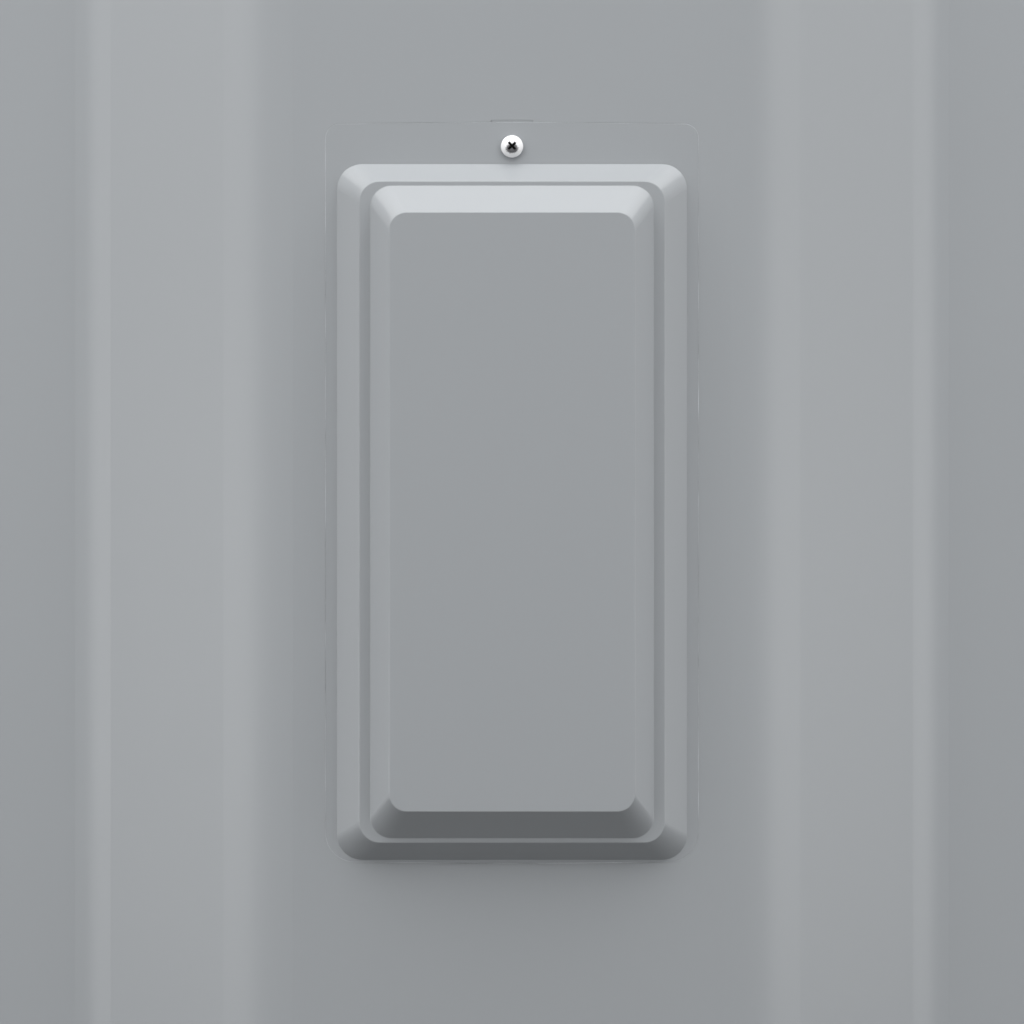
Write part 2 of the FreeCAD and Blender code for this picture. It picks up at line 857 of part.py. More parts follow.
def front_shell():
    """The half with the service opening, the cover's seat, the screw boss and the sounder grille."""
    body = half_shell("front_shell")
    seat = draw(body, "XZ", seat_back_y, [flange_outline(D["seat_lap"])])
    extrude(body, "Pad", seat, D["seat_thick"] + BITE)
    recess = draw(body, "XZ", seat_y, [flange_outline(D["flange_gap"])])
    extrude(body, "Pocket", recess, face_y - seat_y + PAST)
    opening = centred_box(bay_width, bay_height, cover_mid, D["bay_corner"])
    through_seat = D["seat_thick"] + 2 * PAST
    extrude(body, "Pocket", draw(body, "XZ", seat_back_y - PAST, [opening]), through_seat)

    pry_low = flange_high_z
    pry_high = flange_high_z + D["flange_crown"] + D["pry_rise"]
    pry_corner = D["pry_rise"] / 2
    pry = rounded_box(D["pry_width"], pry_low, pry_high, pry_corner)
    extrude(body, "Pocket", draw(body, "XZ", face_y - D["pry_depth"], [pry]), D["pry_depth"] + PAST)

    notch_low = hinge_z + D["tab_up"] - 2 * D["tab_gap"]
    notch_high = cover_mid - bay_height / 2 + PAST
    notch_half = D["tab_width"] / 2 + D["tab_gap"]
    notches = []
    for side in SIDES:
        middle = side * D["tab_pitch"] / 2
        notches.append([(middle - notch_half, notch_low), (middle + notch_half, notch_low),
                        (middle + notch_half, notch_high), (middle - notch_half, notch_high)])
    extrude(body, "Pocket", draw(body, "XZ", seat_back_y - PAST, notches), through_seat)

    boss_start = seat_y - D["insert_length"]
    boss = draw(body, "XZ", boss_start, circles=[(0, screw_z, D["boss_outer"])])
    extrude(body, "Pad", boss, D["insert_length"] - D["seat_thick"] + BITE)
    hole = draw(body, "XZ", boss_start - PAST, circles=[(0, screw_z, D["insert_outer"])])
    extrude(body, "Pocket", hole, D["insert_length"] + 2 * PAST)

    grille_reach = D["sounder_outer"].number / 2 - D["grille_in"].number
    slots = []
    for step in range(-2, 3):
        half = math.sqrt(grille_reach ** 2 - (step * D["grille_pitch"].number) ** 2)
        middle = sounder_z + step * D["grille_pitch"]
        slots.append(centred_box(2 * half, D["grille_bar"], middle, D["grille_corner"]))
    extrude(body, "Pocket", draw(body, "XZ", inner_y - PAST, slots), D["wall"] + 2 * PAST)

    pilots = [(x, up, D["shell_screw"]) for x, up in shell_boss_places]
    extrude(body, "Pocket", draw(body, "XZ", 0, circles=pilots), panel_inner_y)
    return keep(body, "front_shell")


def rear_shell():
    """The closed half: counterbored screw holes, mast bosses and cooling slots; turned to face +Y."""
    body = half_shell("rear_shell")
    mast_gap = inner_y - mast_back_y
    bosses = [(x, up, D["mast_boss"]) for x, up in mast_boss_places]
    extrude(body, "Pad", draw(body, "XZ", mast_back_y, circles=bosses), mast_gap + BITE)
    through = [(x, up, D["shell_screw"] + D["shell_screw_slack"]) for x, up in shell_boss_places]
    extrude(body, "Pocket", draw(body, "XZ", 0, circles=through), panel_y + PAST)
    heads = [(x, up, D["shell_head"] + D["head_slack"]) for x, up in shell_boss_places]
    extrude(body, "Pocket", draw(body, "XZ", panel_y - D["head_sink"], circles=heads), D["head_sink"] + PAST)
    holes = [(x, up, D["m4"] + D["mast_hole_slack"]) for x, up in mast_boss_places]
    hole_length = mast_gap + D["wall"] + 2 * PAST
    extrude(body, "Pocket", draw(body, "XZ", mast_back_y - PAST, circles=holes), hole_length)
    heads = [(x, up, D["mast_head"] + D["head_slack"]) for x, up in mast_boss_places]
    mast_head_y = inner_y - D["mast_head_sink"]
    extrude(body, "Pocket", draw(body, "XZ", mast_head_y, circles=heads), face_y - mast_head_y + PAST)
    vent_heights = [cover_mid + step * D["vent_pitch"] for step in range(-4, 5)]
    slots = [centred_box(D["vent_width"], D["vent_rise"], up, D["vent_corner"]) for up in vent_heights]
    extrude(body, "Pocket", draw(body, "XZ", inner_y - PAST, slots), D["wall"] + 2 * PAST)
    body.Placement = FreeCAD.Placement(V(), FreeCAD.Rotation(V(0, 0, 1), 180))
    return keep(body, "rear_shell")


# ---------------------------------------------------------------- the service cover


def loft(body, kind, first, second):
    """A straight loft between two sketches of the same shape; stops if it changes nothing."""
    had = body.Shape.Volume
    feature = body.newObject(f"PartDesign::{kind}", f"{body.Name}_{kind}")
    feature.Profile = first
    feature.Sections = [second]
    feature.Ruled = True
    doc.recompute()
    if abs(body.Shape.Volume - had) < SMALL:
        raise RuntimeError(f"{feature.Name} changed nothing")


def add_step(body, kind, low, high):
    """A loft between two rounded rectangles, each given as (width, height, corner, y)."""
    loft(body, kind, *[draw(body, "XZ", y, [centred_box(w, h, cover_mid, r)]) for w, h, r, y in (low, high)])


def service_cover():
    """The stepped cover: a flush flange, two sloped steps, a hollow back and two hooks at its foot."""
    body = new_body("service_cover")
    flange_back = face_y - D["flange_thick"]
    extrude(body, "Pad", draw(body, "XZ", flange_back, [flange_outline(0)]), D["flange_thick"])
    land_y = face_y + D["land_rise"]
    front_y = land_y + D["face_rise"]
    one_wide = flange_width - D["ledge_wide"]
    one_high = flange_high_z - hinge_z - D["ledge_high"]
    land_wide, land_high = one_wide - D["slope_one_wide"], one_high - D["slope_one_high"]
    two_wide, two_high = land_wide - D["land_wide"], land_high - D["land_high"]
    face_wide, face_high = two_wide - D["slope_two_wide"], two_high - D["slope_two_high"]
    step_one = (one_wide, one_high, D["step_one_corner"], face_y)
    land = (land_wide, land_high, D["land_corner"], land_y)
    step_two = (two_wide, two_high, D["step_two_corner"], land_y)
    face = (face_wide, face_high, D["face_corner"], front_y)
    add_step(body, "AdditiveLoft", step_one, land)
    add_step(body, "AdditiveLoft", step_two, face)

    def crisp(edge):
        return flat_at("y", -land_y)(edge) or flat_at("y", -front_y)(edge)

    dress(body, "Fillet", D["cover_edge"], crisp)
    inset = 2 * D["cover_lean"] * D["cover_wall"]
    inner = []
    for (wide, high, corner, y), drop in ((step_one, 0), (land, D["cover_wall"]), (step_two, D["cover_wall"]),
                                          (face, D["cover_wall"])):
        inner.append((wide - inset, high - inset, corner - D["cover_inner_corner"], y - drop))
    back = (*inner[0][:3], flange_back - PAST)
    add_step(body, "SubtractiveLoft", back, inner[0])
    add_step(body, "SubtractiveLoft", inner[0], inner[1])
    add_step(body, "SubtractiveLoft", inner[2], inner[3])

    tab_low = hinge_z + D["tab_up"]
    tab_high = tab_low + D["tab_thick"]
    barb_low = tab_low - D["tab_barb"]
    barb_y = seat_back_y - D["tab_gap"] - D["tab_thick"]
    tongues, barbs = [], []
    for side in SIDES:
        left = side * D["tab_pitch"] / 2 - D["tab_width"] / 2
        right = side * D["tab_pitch"] / 2 + D["tab_width"] / 2
        tongues.append([(left, tab_low), (right, tab_low), (right, tab_high), (left, tab_high)])
        barbs.append([(left, barb_low), (right, barb_low), (right, tab_high), (left, tab_high)])
    extrude(body, "Pad", draw(body, "XZ", barb_y, tongues), flange_back - barb_y + BITE)
    extrude(body, "Pad", draw(body, "XZ", barb_y, barbs), D["tab_thick"])
    hole_width = D["cover_screw_core"] + D["cover_screw_slack"]
    hole = draw(body, "XZ", flange_back - PAST, circles=[(0, screw_z, hole_width)])
    extrude(body, "Pocket", hole, D["flange_thick"] + 2 * PAST)
    return keep(body, "service_cover")


def cover_gasket():
    """A foam frame that lies on the seat behind the flange, clear of the hooks."""
    body = new_body("cover_gasket")
    off_bay = 2 * D["gasket_off_bay"]
    inside = centred_box(bay_width + off_bay, bay_height + off_bay, cover_mid, D["bay_corner"])
    ring = draw(body, "XZ", seat_y, [flange_outline(-D["gasket_in"]), inside])
    extrude(body, "Pad", ring, D["seat_gap"])
    through = D["seat_gap"] + 2 * PAST
    hole = draw(body, "XZ", seat_y - PAST, circles=[(0, screw_z, D["cover_head"] + D["gasket_in"])])
    extrude(body, "Pocket", hole, through)
    reach = D["tab_pitch"] / 2 + D["tab_width"] / 2 + D["gasket_in"]
    low = hinge_z - D["gasket_in"]
    high = cover_mid - bay_height / 2 + D["gasket_in"]
    notch = [(-reach, low), (reach, low), (reach, high), (-reach, high)]
    extrude(body, "Pocket", draw(body, "XZ", seat_y - PAST, [notch]), through)
    return keep(body, "cover_gasket")


def cover_screw():
    """Captive screw with a domed head and a tapered cross recess turned to an X."""
    body = new_body("cover_screw")
    head = D["cover_head"] / 2
    rise = D["cover_head_rise"]
    core = D["cover_screw_core"] / 2
    tip = D["cover_screw_length"]
    profile = [
        (0, rise),
        (D["cover_head_crown"] / 2, rise - D["cover_head_crown_drop"], D["cover_head_crown_radius"]),
        (head, D["cover_head_brim"], D["cover_head_brim_radius"]),
        (head, D["cover_head_edge"]),
        (head - D["cover_head_edge"], 0),
        (core, 0),
        (core, D["cover_screw_point"] - tip),
        (core - D["cover_screw_point"], -tip),
        (0, -tip),
    ]
    sk = draw(body, "XY", 0, [profile])
    turn = body.newObject("PartDesign::Revolution", "cover_screw_turn")
    turn.Profile = sk
    turn.ReferenceAxis = (sk, ["V_Axis"])
    turn.Angle = 360
    doc.recompute()
    for upright in (False, True):
        sketches = []
        for span, width, level in (("cross_span", "cross_width", rise),
                                   ("cross_foot_span", "cross_foot_width", rise - D["cross_depth"])):
            a, b = (width, span) if upright else (span, width)
            a, b = D[a] / 2, D[b] / 2
            sketches.append(draw(body, "XZ", -level, [[(-a, -b), (a, -b), (a, b), (-a, b)]]))
        loft(body, "SubtractiveLoft", *sketches)
    spin = FreeCAD.Rotation(V(0, 1, 0), CROSS_TURN)
    body.Placement = FreeCAD.Placement(V(), FreeCAD.Rotation(V(0, 0, 1), 180) * spin)
    place(body, (0, -face_y, screw_z))
    return keep(body, "cover_screw")


def screw_keeper():
    """Nylon washer that keeps the cover screw with the cover."""
    start = (0, -(face_y - D["flange_thick"]), screw_z)
    bore = D["cover_screw_core"] + D["keeper_slack"]
    washer = tube("screw_keeper", D["cover_head"], bore, D["keeper_thick"], start, "y")
    return keep(washer, "screw_keeper")


def screw_insert():
    """Brass insert pressed into the shell's boss."""
    start = (0, -seat_y, screw_z)
    insert = tube("screw_insert", D["insert_outer"], D["insert_bore"], D["insert_length"], start, "y")
    return keep(insert, "screw_insert")


# ---------------------------------------------------------------- foot, plinth and masts


def foot_sheet(label, low, thick, holes):
    """A plate of the foot's outline with round holes through it."""
    body = new_body(label)
    outline = rounded_box(plate_width, -plate_depth / 2, plate_depth / 2, D["plate_corner"])
    extrude(body, "Pad", draw(body, "XY", low, [outline]), thick)
    extrude(body, "Pocket", draw(body, "XY", low - PAST, circles=holes), thick + 2 * PAST)
    return keep(body, label)


def foot():
    """Steel floor plate on a rubber sheet, with holes for the anchors, the mast bolts and the gland."""
    holes = [(x, y, D["anchor_hole"]) for x, y in anchor_places]
    holes += [(x, mast_y, D["mast_bolt_tapped"]) for x in mast_bolt_places]
    holes.append((0, 0, D["gland_hole"]))
    foot_sheet("foot_plate", D["pad_thick"], D["plate_thick"], holes)
    holes = [(x, y, D["anchor_hole"] + D["pad_hole_slack"]) for x, y in anchor_places]
    holes.append((0, 0, D["gland_collar"] + D["gland_pad_slack"]))
    foot_sheet("foot_pad", as_dim(0), D["pad_thick"], holes)


def plinth_half(label, turned):
    """Half of the moulded skirt that hides the plate; both halves meet on the seam plane."""
    body = new_body(label)
    half = plinth_width / 2
    seam = -D["plinth_seam"]
    front = -plinth_depth / 2
    corner = D["plinth_corner"]
    outline = [(-half, front, corner), (half, front, corner), (half, seam), (-half, seam)]
    rise = D["plinth_height"] - D["plinth_lift"]
    extrude(body, "Pad", draw(body, "XY", D["plinth_lift"], [outline]), rise)

    def top_rim(edge):
        return flat_at("z", D["plinth_height"])(edge) and not flat_at("y", seam)(edge)

    def open_face(face):
        return near(face.BoundBox.ZMax, D["plinth_lift"]) or near(face.BoundBox.YMin, seam)

    dress(body, "Fillet", D["plinth_edge"], top_rim)
    hollow_out(body, D["wall"], open_face)
    gap = D["plinth_gap"]
    hole = spine_outline(-gap, -gap, D["panel_width"] / 2 + gap, as_dim(PAST))
    extrude(body, "Pocket", draw(body, "XY", 0, [hole]), D["plinth_height"] + PAST)
    holes = [(side * plinth_screw_x, D["plinth_screw_up"], D["m4_hole"]) for side in SIDES]
    hole_start = -front - D["wall"] - PAST
    extrude(body, "Pocket", draw(body, "XZ", hole_start, circles=holes), D["wall"] + 2 * PAST)
    if turned:
        body.Placement = FreeCAD.Placement(V(), FreeCAD.Rotation(V(0, 0, 1), 180))
    return keep(body, label)


def plinth_fixings():
    """Angle brackets on the plate and the screws that hold the skirt to them."""
    brackets, screws = [], []
    outer = plinth_depth / 2
    inner = outer - D["wall"]
    thick = D["bracket_thick"]
    foot_low = plate_depth / 2 - D["bracket_lap"]
    rise = D["plinth_screw_up"] + D["bracket_over"] - plate_top
    for side in SIDES:
        middle = side * plinth_screw_x
        left = middle - D["bracket_width"] / 2
        for face in SIDES:
            foot_y = foot_low if face > 0 else -inner
            wall_y = inner - thick if face > 0 else -inner
            wide = D["bracket_width"]
            flat = box("plinth_bracket", (wide, inner - foot_low, thick), (left, foot_y, plate_top))
            upright = box("plinth_bracket", (wide, thick, rise), (left, wall_y, plate_top))
            bore_start = (middle, wall_y - PAST, D["plinth_screw_up"])
            bore = rod("plinth_bracket", D["m4_tapped"], thick + 2 * PAST, bore_start, "y")
            brackets.append(cut("plinth_bracket", fuse("plinth_bracket", flat, upright), bore))
            seat = (middle, face * outer, D["plinth_screw_up"])
            screws.append(cap_screw("plinth_screw", "m4", D["m4_long"], seat, inward(face)))
    keep(group("plinth_brackets", brackets), "plinth_brackets")
    keep(group("plinth_screws", screws), "plinth_screws")


def mast(sign, label):
    """A square tube with its tapped holes for the rear shell and for the tray."""
    side, thin = D["mast_side"], D["mast_wall"]
    low = plate_top + D["mast_foot_thick"]
    x, y = sign * mast_x - side / 2, mast_front_y
    outer = box(label, (side, side, mast_top - low), (x, y, low))
    inner = box(label, (side - 2 * thin, side - 2 * thin, mast_top), (x + thin, y + thin, low - PAST))
    drills = [(mast_back_y - thin - PAST, up) for up in mast_boss_heights]
    drills += [(mast_front_y - PAST, up) for up in tray_screw_heights]
    holes = [rod(label, D["m4_tapped"], thin + 2 * PAST, (sign * mast_x, start, up), "y")
             for start, up in drills]
    keep(cut(label, outer, inner, *holes), label)


def mast_bolt(x):
    """Hexagon bolt with its washer, screwed down into the plate."""
    seat = plate_top + D["mast_foot_thick"]
    head = doc.addObject("Part::Prism", "mast_bolt_hexagon")
    head.Polygon = 6
    bind(head, "Circumradius", D["mast_bolt_corners"] / 2)
    bind(head, "Height", D["mast_bolt_head"])
    place(head, (x, mast_y, seat + D["mast_washer_thick"]))
    washer = rod("mast_bolt", D["mast_washer"], D["mast_washer_thick"], (x, mast_y, seat))
    start = D["pad_thick"] + PAST
    shank = rod("mast_bolt", D["mast_bolt"], seat - start + BITE, (x, mast_y, start))
    return fuse("mast_bolt", head, washer, shank)


def masts():
    """The two masts on their bolted feet, tied by three flat bars."""
    mast(-1, "mast_left")
    mast(1, "mast_right")
    feet = []
    long, deep = D["mast_side"] + 2 * D["mast_foot_out"], D["mast_side"]
    for sign in SIDES:
        foot_part = box("mast_foot", (long, deep, D["mast_foot_thick"]),
                        (sign * mast_x - long / 2, mast_front_y, plate_top))
        holes = [rod("mast_foot", D["mast_bolt"] + D["mast_bolt_slack"], D["mast_foot_thick"] + 2 * PAST,
                     (sign * mast_x + out * mast_bolt_x, mast_y, plate_top - PAST)) for out in SIDES]
        feet.append(cut("mast_foot", foot_part, *holes))
    keep(group("mast_feet", feet), "mast_feet")
    keep(group("mast_bolts", [mast_bolt(x) for x in mast_bolt_places]), "mast_bolts")
    gap = 2 * mast_x - D["mast_side"]
    low, high = D["bar_low"], mast_top - D["bar_down"]
    bar_y = mast_y - D["bar_thick"] / 2
    bars = [box("cross_bar", (gap, D["bar_thick"], D["bar_height"]), (-gap / 2, bar_y, up))
            for up in (low, (low + high) / 2, high)]
    keep(group("cross_bars", bars), "cross_bars")


def gland():
    """Cable gland in the floor plate, with the locknut above it."""
    bore = D["gland_bore"]
    start = D["pad_thick"] - D["gland_collar_thick"]
    body = tube("cable_gland", D["gland_thread"], bore, D["gland_length"], (0, 0, start))
    collar = tube("cable_gland", D["gland_collar"], bore, D["gland_collar_thick"], (0, 0, start))
    dome_z = plate_top + D["gland_dome_up"]
    dome = tube("cable_gland", D["gland_dome"], bore, D["gland_dome_rise"], (0, 0, dome_z))
    keep(fuse("cable_gland", body, collar, dome), "cable_gland")
    nut = doc.addObject("Part::Prism", "gland_nut_hexagon")
    nut.Polygon = 6
    bind(nut, "Circumradius", D["gland_nut_corners"] / 2)
    bind(nut, "Height", D["gland_nut_thick"])
    place(nut, (0, 0, plate_top))
    bore_length = D["gland_nut_thick"] + 2 * PAST
    nut_bore = rod("gland_nut", D["gland_nut_bore"], bore_length, (0, 0, plate_top - PAST))
    keep(cut("gland_nut", nut, nut_bore), "gland_locknut")


# ---------------------------------------------------------------- coils, bumpers and lamp

coil_width = D["panel_width"] - 2 * D["coil_inset"]
coil_height = (D["post_height"] - D["coil_down"] - D["coil_low"] - D["coil_gap"]) / 2
coil_starts = {"lower_coil": D["coil_low"], "upper_coil": D["coil_low"] + coil_height + D["coil_gap"]}


def coil(label):
    """One flat aerial coil, bound with tape into a rectangular ring."""
    body = new_body(label)
    middle = coil_starts[label] + coil_height / 2
    band = D["coil_band"]
    ring = [
        centred_box(coil_width, coil_height, middle, D["coil_corner"]),
        centred_box(coil_width - 2 * band, coil_height - 2 * band, middle, D["coil_corner"] - band),
    ]
    half = D["coil_depth"] / 2
    extrude(body, "Pad", draw(body, "XZ", -half, ring), D["coil_depth"])
    dress(body, "Fillet", D["coil_edge"], lambda e: flat_at("y", -half)(e) or flat_at("y", half)(e))
    return keep(body, label)


def coil_pads():
    """Foam blocks that pinch the coils between the two shells."""
    pads = []
    x_middle = (coil_width - D["coil_band"]) / 2
    thick = panel_inner_y - D["coil_depth"] / 2
    for start in coil_starts.values():
        for share in COIL_PAD_SHARES:
            for side in SIDES:
                for face in SIDES:
                    y = D["coil_depth"] / 2 if face > 0 else -panel_inner_y
                    corner = (side * x_middle - D["coil_pad_width"] / 2, y, start + coil_height * share)
                    pads.append(box("coil_pad", (D["coil_pad_width"], thick, D["coil_pad_height"]), corner))
    keep(group("coil_pads", pads), "coil_pads")


def bumper(label, side):
    """Soft strip pressed into the groove over the seam, from the plinth round the top corner."""
    body = new_body(label)
    gap = D["bumper_gap"]
    low = D["plinth_height"] + D["plinth_gap"]
    half = D["panel_width"] / 2
    proud, sink = D["bumper_proud"], D["bumper_sink"] - gap
    stop = side * (lens_half + 2 * D["lens_gap"])
    outer_x, outer_top = side * (half + proud), D["post_height"] + proud
    inner_x, inner_top = side * (half - sink), D["post_height"] - sink
    outline = [
        (outer_x, low), (outer_x, outer_top, panel_corner + proud), (stop, outer_top),
        (stop, inner_top), (inner_x, inner_top, panel_corner - sink), (inner_x, low),
    ]
    width = D["bumper_width"] - 2 * gap
    extrude(body, "Pad", draw(body, "XZ", -width / 2, [outline]), width)

    def outer_edges(edge):
        in_face = any(flat_at("y", face * width / 2)(edge) for face in SIDES)
        bounds = edge.BoundBox
        reaches_out = near(bounds.XMin, outer_x) or near(bounds.XMax, outer_x)
        outside = near(bounds.XMin, outer_x) and near(bounds.XMax, outer_x)
        above = near(bounds.ZMin, outer_top) and near(bounds.ZMax, outer_top)
        bend = near(bounds.ZMax, outer_top) and reaches_out
        return in_face and (outside or above or bend)

    dress(body, "Fillet", D["bumper_edge"], outer_edges)
    return keep(body, label)


def lens_outline():
    """Plan of the lamp lens, which carries the spine's shape over the top of the panel."""
    brow = D["spine_face"] / 2
    side_y = face_y - (lens_half - brow) * spine_rise / spine_run
    soft, round_over = D["lens_corner"], D["spine_brow"]
    return [
        (-lens_half, -side_y, soft), (-brow, -face_y, round_over), (brow, -face_y, round_over),
        (lens_half, -side_y, soft), (lens_half, side_y, soft), (brow, face_y, round_over),
        (-brow, face_y, round_over), (-lens_half, side_y, soft),
    ]


def alarm_lens():
    """Clear saddle over the top of the post, open below, with slots where the panel passes."""
    body = new_body("alarm_lens")
    extrude(body, "Pad", draw(body, "XY", lens_z, [lens_outline()]), lens_top - lens_z)
    dress(body, "Fillet", D["lens_edge"], flat_at("z", lens_top))
    hollow_out(body, D["lens_wall"], lambda face: near(face.BoundBox.ZMax, lens_z))
    slot_half = panel_y + D["lens_gap"]
    slot_low = lens_z - PAST
    slot_top = D["post_height"] + D["lens_gap"]
    slot = [(-slot_half, slot_low), (slot_half, slot_low), (slot_half, slot_top), (-slot_half, slot_top)]
    slot_start = -lens_half - PAST
    extrude(body, "Pocket", draw(body, "YZ", slot_start, [slot]), -2 * slot_start, towards_normal=True)
    screw_holes = [(x, up, D["shell_screw"] + D["head_slack"]) for x, up in lens_post_places]
    hole_start = -face_y - PAST
    extrude(body, "Pocket", draw(body, "XZ", hole_start, circles=screw_holes), -2 * hole_start)
    return keep(body, "alarm_lens")


def lamp():
    """Two light boards on spacers, one each side of the panel, with their lamps and screws."""
    spacers, leds, screws, lens_screws = [], [], [], []
    wide, high, thick = D["lamp_board_width"], D["lamp_board_height"], D["board_thick"]
    mid_z = spine_top + D["lens_rise"] / 2 + D["lamp_board_up"]
    hole_x = wide / 2 - D["lamp_hole_in"]
    hole_z = mid_z - high / 2 + D["lamp_hole_up"]
    back = panel_y + D["lamp_spacer"]
    for face, label in ((-1, "lamp_board_front"), (1, "lamp_board_rear")):
        board_y = back if face > 0 else -back - thick
        board = box(label, (wide, thick, high), (-wide / 2, board_y, mid_z - high / 2))
        for side in SIDES:
            foot_at = (side * hole_x, face * panel_y, hole_z)
            bore_start = (side * hole_x, face * (back - PAST), hole_z)
            bore = rod(label, D["m3_hole"], thick + 2 * PAST, bore_start, outward(face))
            board = cut(label, board, bore)
            sizes = (D["lamp_spacer_outer"], D["m3_hole"], D["lamp_spacer"])
            spacers.append(tube("lamp_spacer", *sizes, foot_at, outward(face)))
            seat = (side * hole_x, face * (back + thick), hole_z)
            length = D["lamp_spacer"] + thick - BITE
            screws.append(cap_screw("lamp_screw", "m3", length, seat, inward(face)))
        keep(board, label)
        for row in SIDES:
            for column in range(-4, 5):
                at = (column * D["lamp_led_pitch"], face * (back + thick),
                      mid_z + D["lamp_led_up"] + row * D["lamp_led_row"])
                leds.append(rod("lamp_led", D["lamp_led"], D["lamp_led_rise"], at, outward(face)))
        for x, up in lens_post_places:
            lens_screws.append(screw("lens_screw", D["shell_head"], D["lens_head_rise"],
                                     D["shell_screw"] - D["thread_slack"], D["lens_screw_length"],
                                     (x, face * face_y, up), inward(face)))
    keep(group("lamp_spacers", spacers), "lamp_spacers")
    keep(group("lamp_leds", leds), "lamp_leds")
    keep(group("lamp_screws", screws), "lamp_screws")
    keep(group("lens_screws", lens_screws), "lens_screws")


def shell_screws():
    """Screws from the rear shell into the front one, and into the masts."""
    core = D["shell_screw"] - D["thread_slack"]
    mast_head_y = inner_y - D["mast_head_sink"]
    mast_length = mast_head_y - mast_back_y + D["mast_screw_bite"]
    screws = [screw("shell_screw", D["shell_head"], D["shell_head_rise"], core, D["shell_screw_length"],
                    (x, panel_y - D["head_sink"], up), "-y") for x, up in shell_boss_places]
    screws += [screw("mast_screw", D["mast_head"], D["shell_head_rise"], D["m4"], mast_length,
                     (x, mast_head_y, up), "-y") for x, up in mast_boss_places]
    keep(group("shell_screws", screws), "shell_screws")


def sounder():
    """Piezo sounder behind the grille, held by a strap with a leg at each end."""
    can = rod("sounder", D["sounder_outer"], D["sounder_depth"], (0, -inner_y, sounder_z), "y")
    mouth_start = (0, -inner_y - PAST, sounder_z)
    mouth = rod("sounder", D["sounder_mouth"], D["sounder_mouth_depth"] + PAST, mouth_start, "y")
    keep(cut("sounder", can, mouth), "sounder")
    thick, wide = D["strap_thick"], D["strap_width"]
    half = D["sounder_outer"] / 2 + D["strap_out"]
    low = sounder_z - wide / 2
    bridge = box("sounder_strap", (2 * half, thick, wide), (-half, D["sounder_depth"] - inner_y, low))
    legs = [box("sounder_strap", (thick, D["sounder_depth"] + BITE, wide), (x, -inner_y, low))
            for x in (-half, half - thick)]
    keep(fuse("sounder_strap", bridge, *legs), "sounder_strap")


# ---------------------------------------------------------------- the service bay


def tray():
    """Folded steel tray that stands forward from the masts and carries the electronics."""
    body = new_body("board_tray")
    half, thin = tray_width / 2, D["tray_sheet"]
    wing = half + D["mast_out"] + D["mast_side"] / 2 - D["tray_lip_short"]
    back, front = mast_front_y, -D["tray_front"]
    outline = [
        (-wing, back - thin), (-half, back - thin), (-half, front), (half, front),
        (half, back - thin), (wing, back - thin), (wing, back), (half - thin, back),
        (half - thin, front + thin), (-half + thin, front + thin), (-half + thin, back), (-wing, back),
    ]
    extrude(body, "Pad", draw(body, "XY", cover_mid - D["tray_height"] / 2, [outline]), D["tray_height"])
    holes = [(side * mast_x, up, D["m4_hole"]) for side in SIDES for up in tray_screw_heights]
    extrude(body, "Pocket", draw(body, "XZ", -back - PAST, circles=holes), thin + 2 * PAST)
    bolt_hole = (0, toroid_z, D["toroid_bolt"] + D["toroid_bolt_slack"])
    extrude(body, "Pocket", draw(body, "XZ", -front - thin - PAST, circles=[bolt_hole]), thin + 2 * PAST)
    keep(body, "board_tray")
    screws = [cap_screw("tray_screw", "m4", D["m4_short"], (side * mast_x, back - thin, up), "y")
              for side in SIDES for up in tray_screw_heights]
    keep(group("tray_screws", screws), "tray_screws")


def main_board():
    """Circuit board on four standoffs, with its screws."""
    corner = (-D["board_width"] / 2, -board_front, board_mid - D["board_height"] / 2)
    board = box("main_board", (D["board_width"], D["board_thick"], D["board_height"]), corner)
    posts, screws = [], []
    for side in SIDES:
        for end in SIDES:
            x = side * (D["board_width"] / 2 - D["board_hole_in"])
            z = board_mid + end * (D["board_height"] / 2 - D["board_hole_in"])
            bore_start = (x, -board_front - PAST, z)
            bore = rod("main_board", D["m3_hole"], D["board_thick"] + 2 * PAST, bore_start, "y")
            board = cut("main_board", board, bore)
            sizes = (D["standoff_outer"], D["m3_tapped"], D["standoff"])
            posts.append(tube("standoff", *sizes, (x, -board_back, z), "y"))
            screws.append(cap_screw("board_screw", "m3", D["m3_length"], (x, -board_front, z), "y"))
    keep(board, "main_board")
    keep(group("board_standoffs", posts), "board_standoffs")
    keep(group("board_screws", screws), "board_screws")


def toroid():
    """Toroidal transformer under a dished clamp and one long bolt."""
    body = new_body("transformer")
    back = D["tray_front"] + D["toroid_pad"]
    front = back + D["toroid_depth"]
    rings = [(0, toroid_z, D["toroid_outer"]), (0, toroid_z, D["toroid_bore"])]
    extrude(body, "Pad", draw(body, "XZ", back, circles=rings), D["toroid_depth"])
    dress(body, "Fillet", D["toroid_edge"], lambda e: flat_at("y", -front)(e) or flat_at("y", -back)(e))
    keep(body, "transformer")
    bolt_hole = D["toroid_bolt"] + D["toroid_bolt_slack"]
    pad_width = D["toroid_outer"] - 2 * D["toroid_pad_in"]
    pad_disc = tube("transformer_pad", pad_width, bolt_hole, D["toroid_pad"], (0, -back, toroid_z), "y")
    keep(pad_disc, "transformer_pad")
    clamp_y = -front - D["clamp_thick"]
    clamp_at = (0, clamp_y, toroid_z)
    disc = tube("transformer_clamp", D["clamp_outer"], bolt_hole, D["clamp_thick"], clamp_at, "y")
    keep(disc, "transformer_clamp")
    length = -clamp_y - D["tray_front"] + D["toroid_bolt_past"]
    head = (D["clamp_head"], D["clamp_head_rise"])
    bolt = screw("transformer_bolt", *head, D["toroid_bolt"], length, clamp_at, "y")
    keep(bolt, "transformer_bolt")


def on_board(x, up, rise=0):
    """A place in front of the circuit board, from the board's middle."""
    return (x, -board_front - rise, board_mid + up)


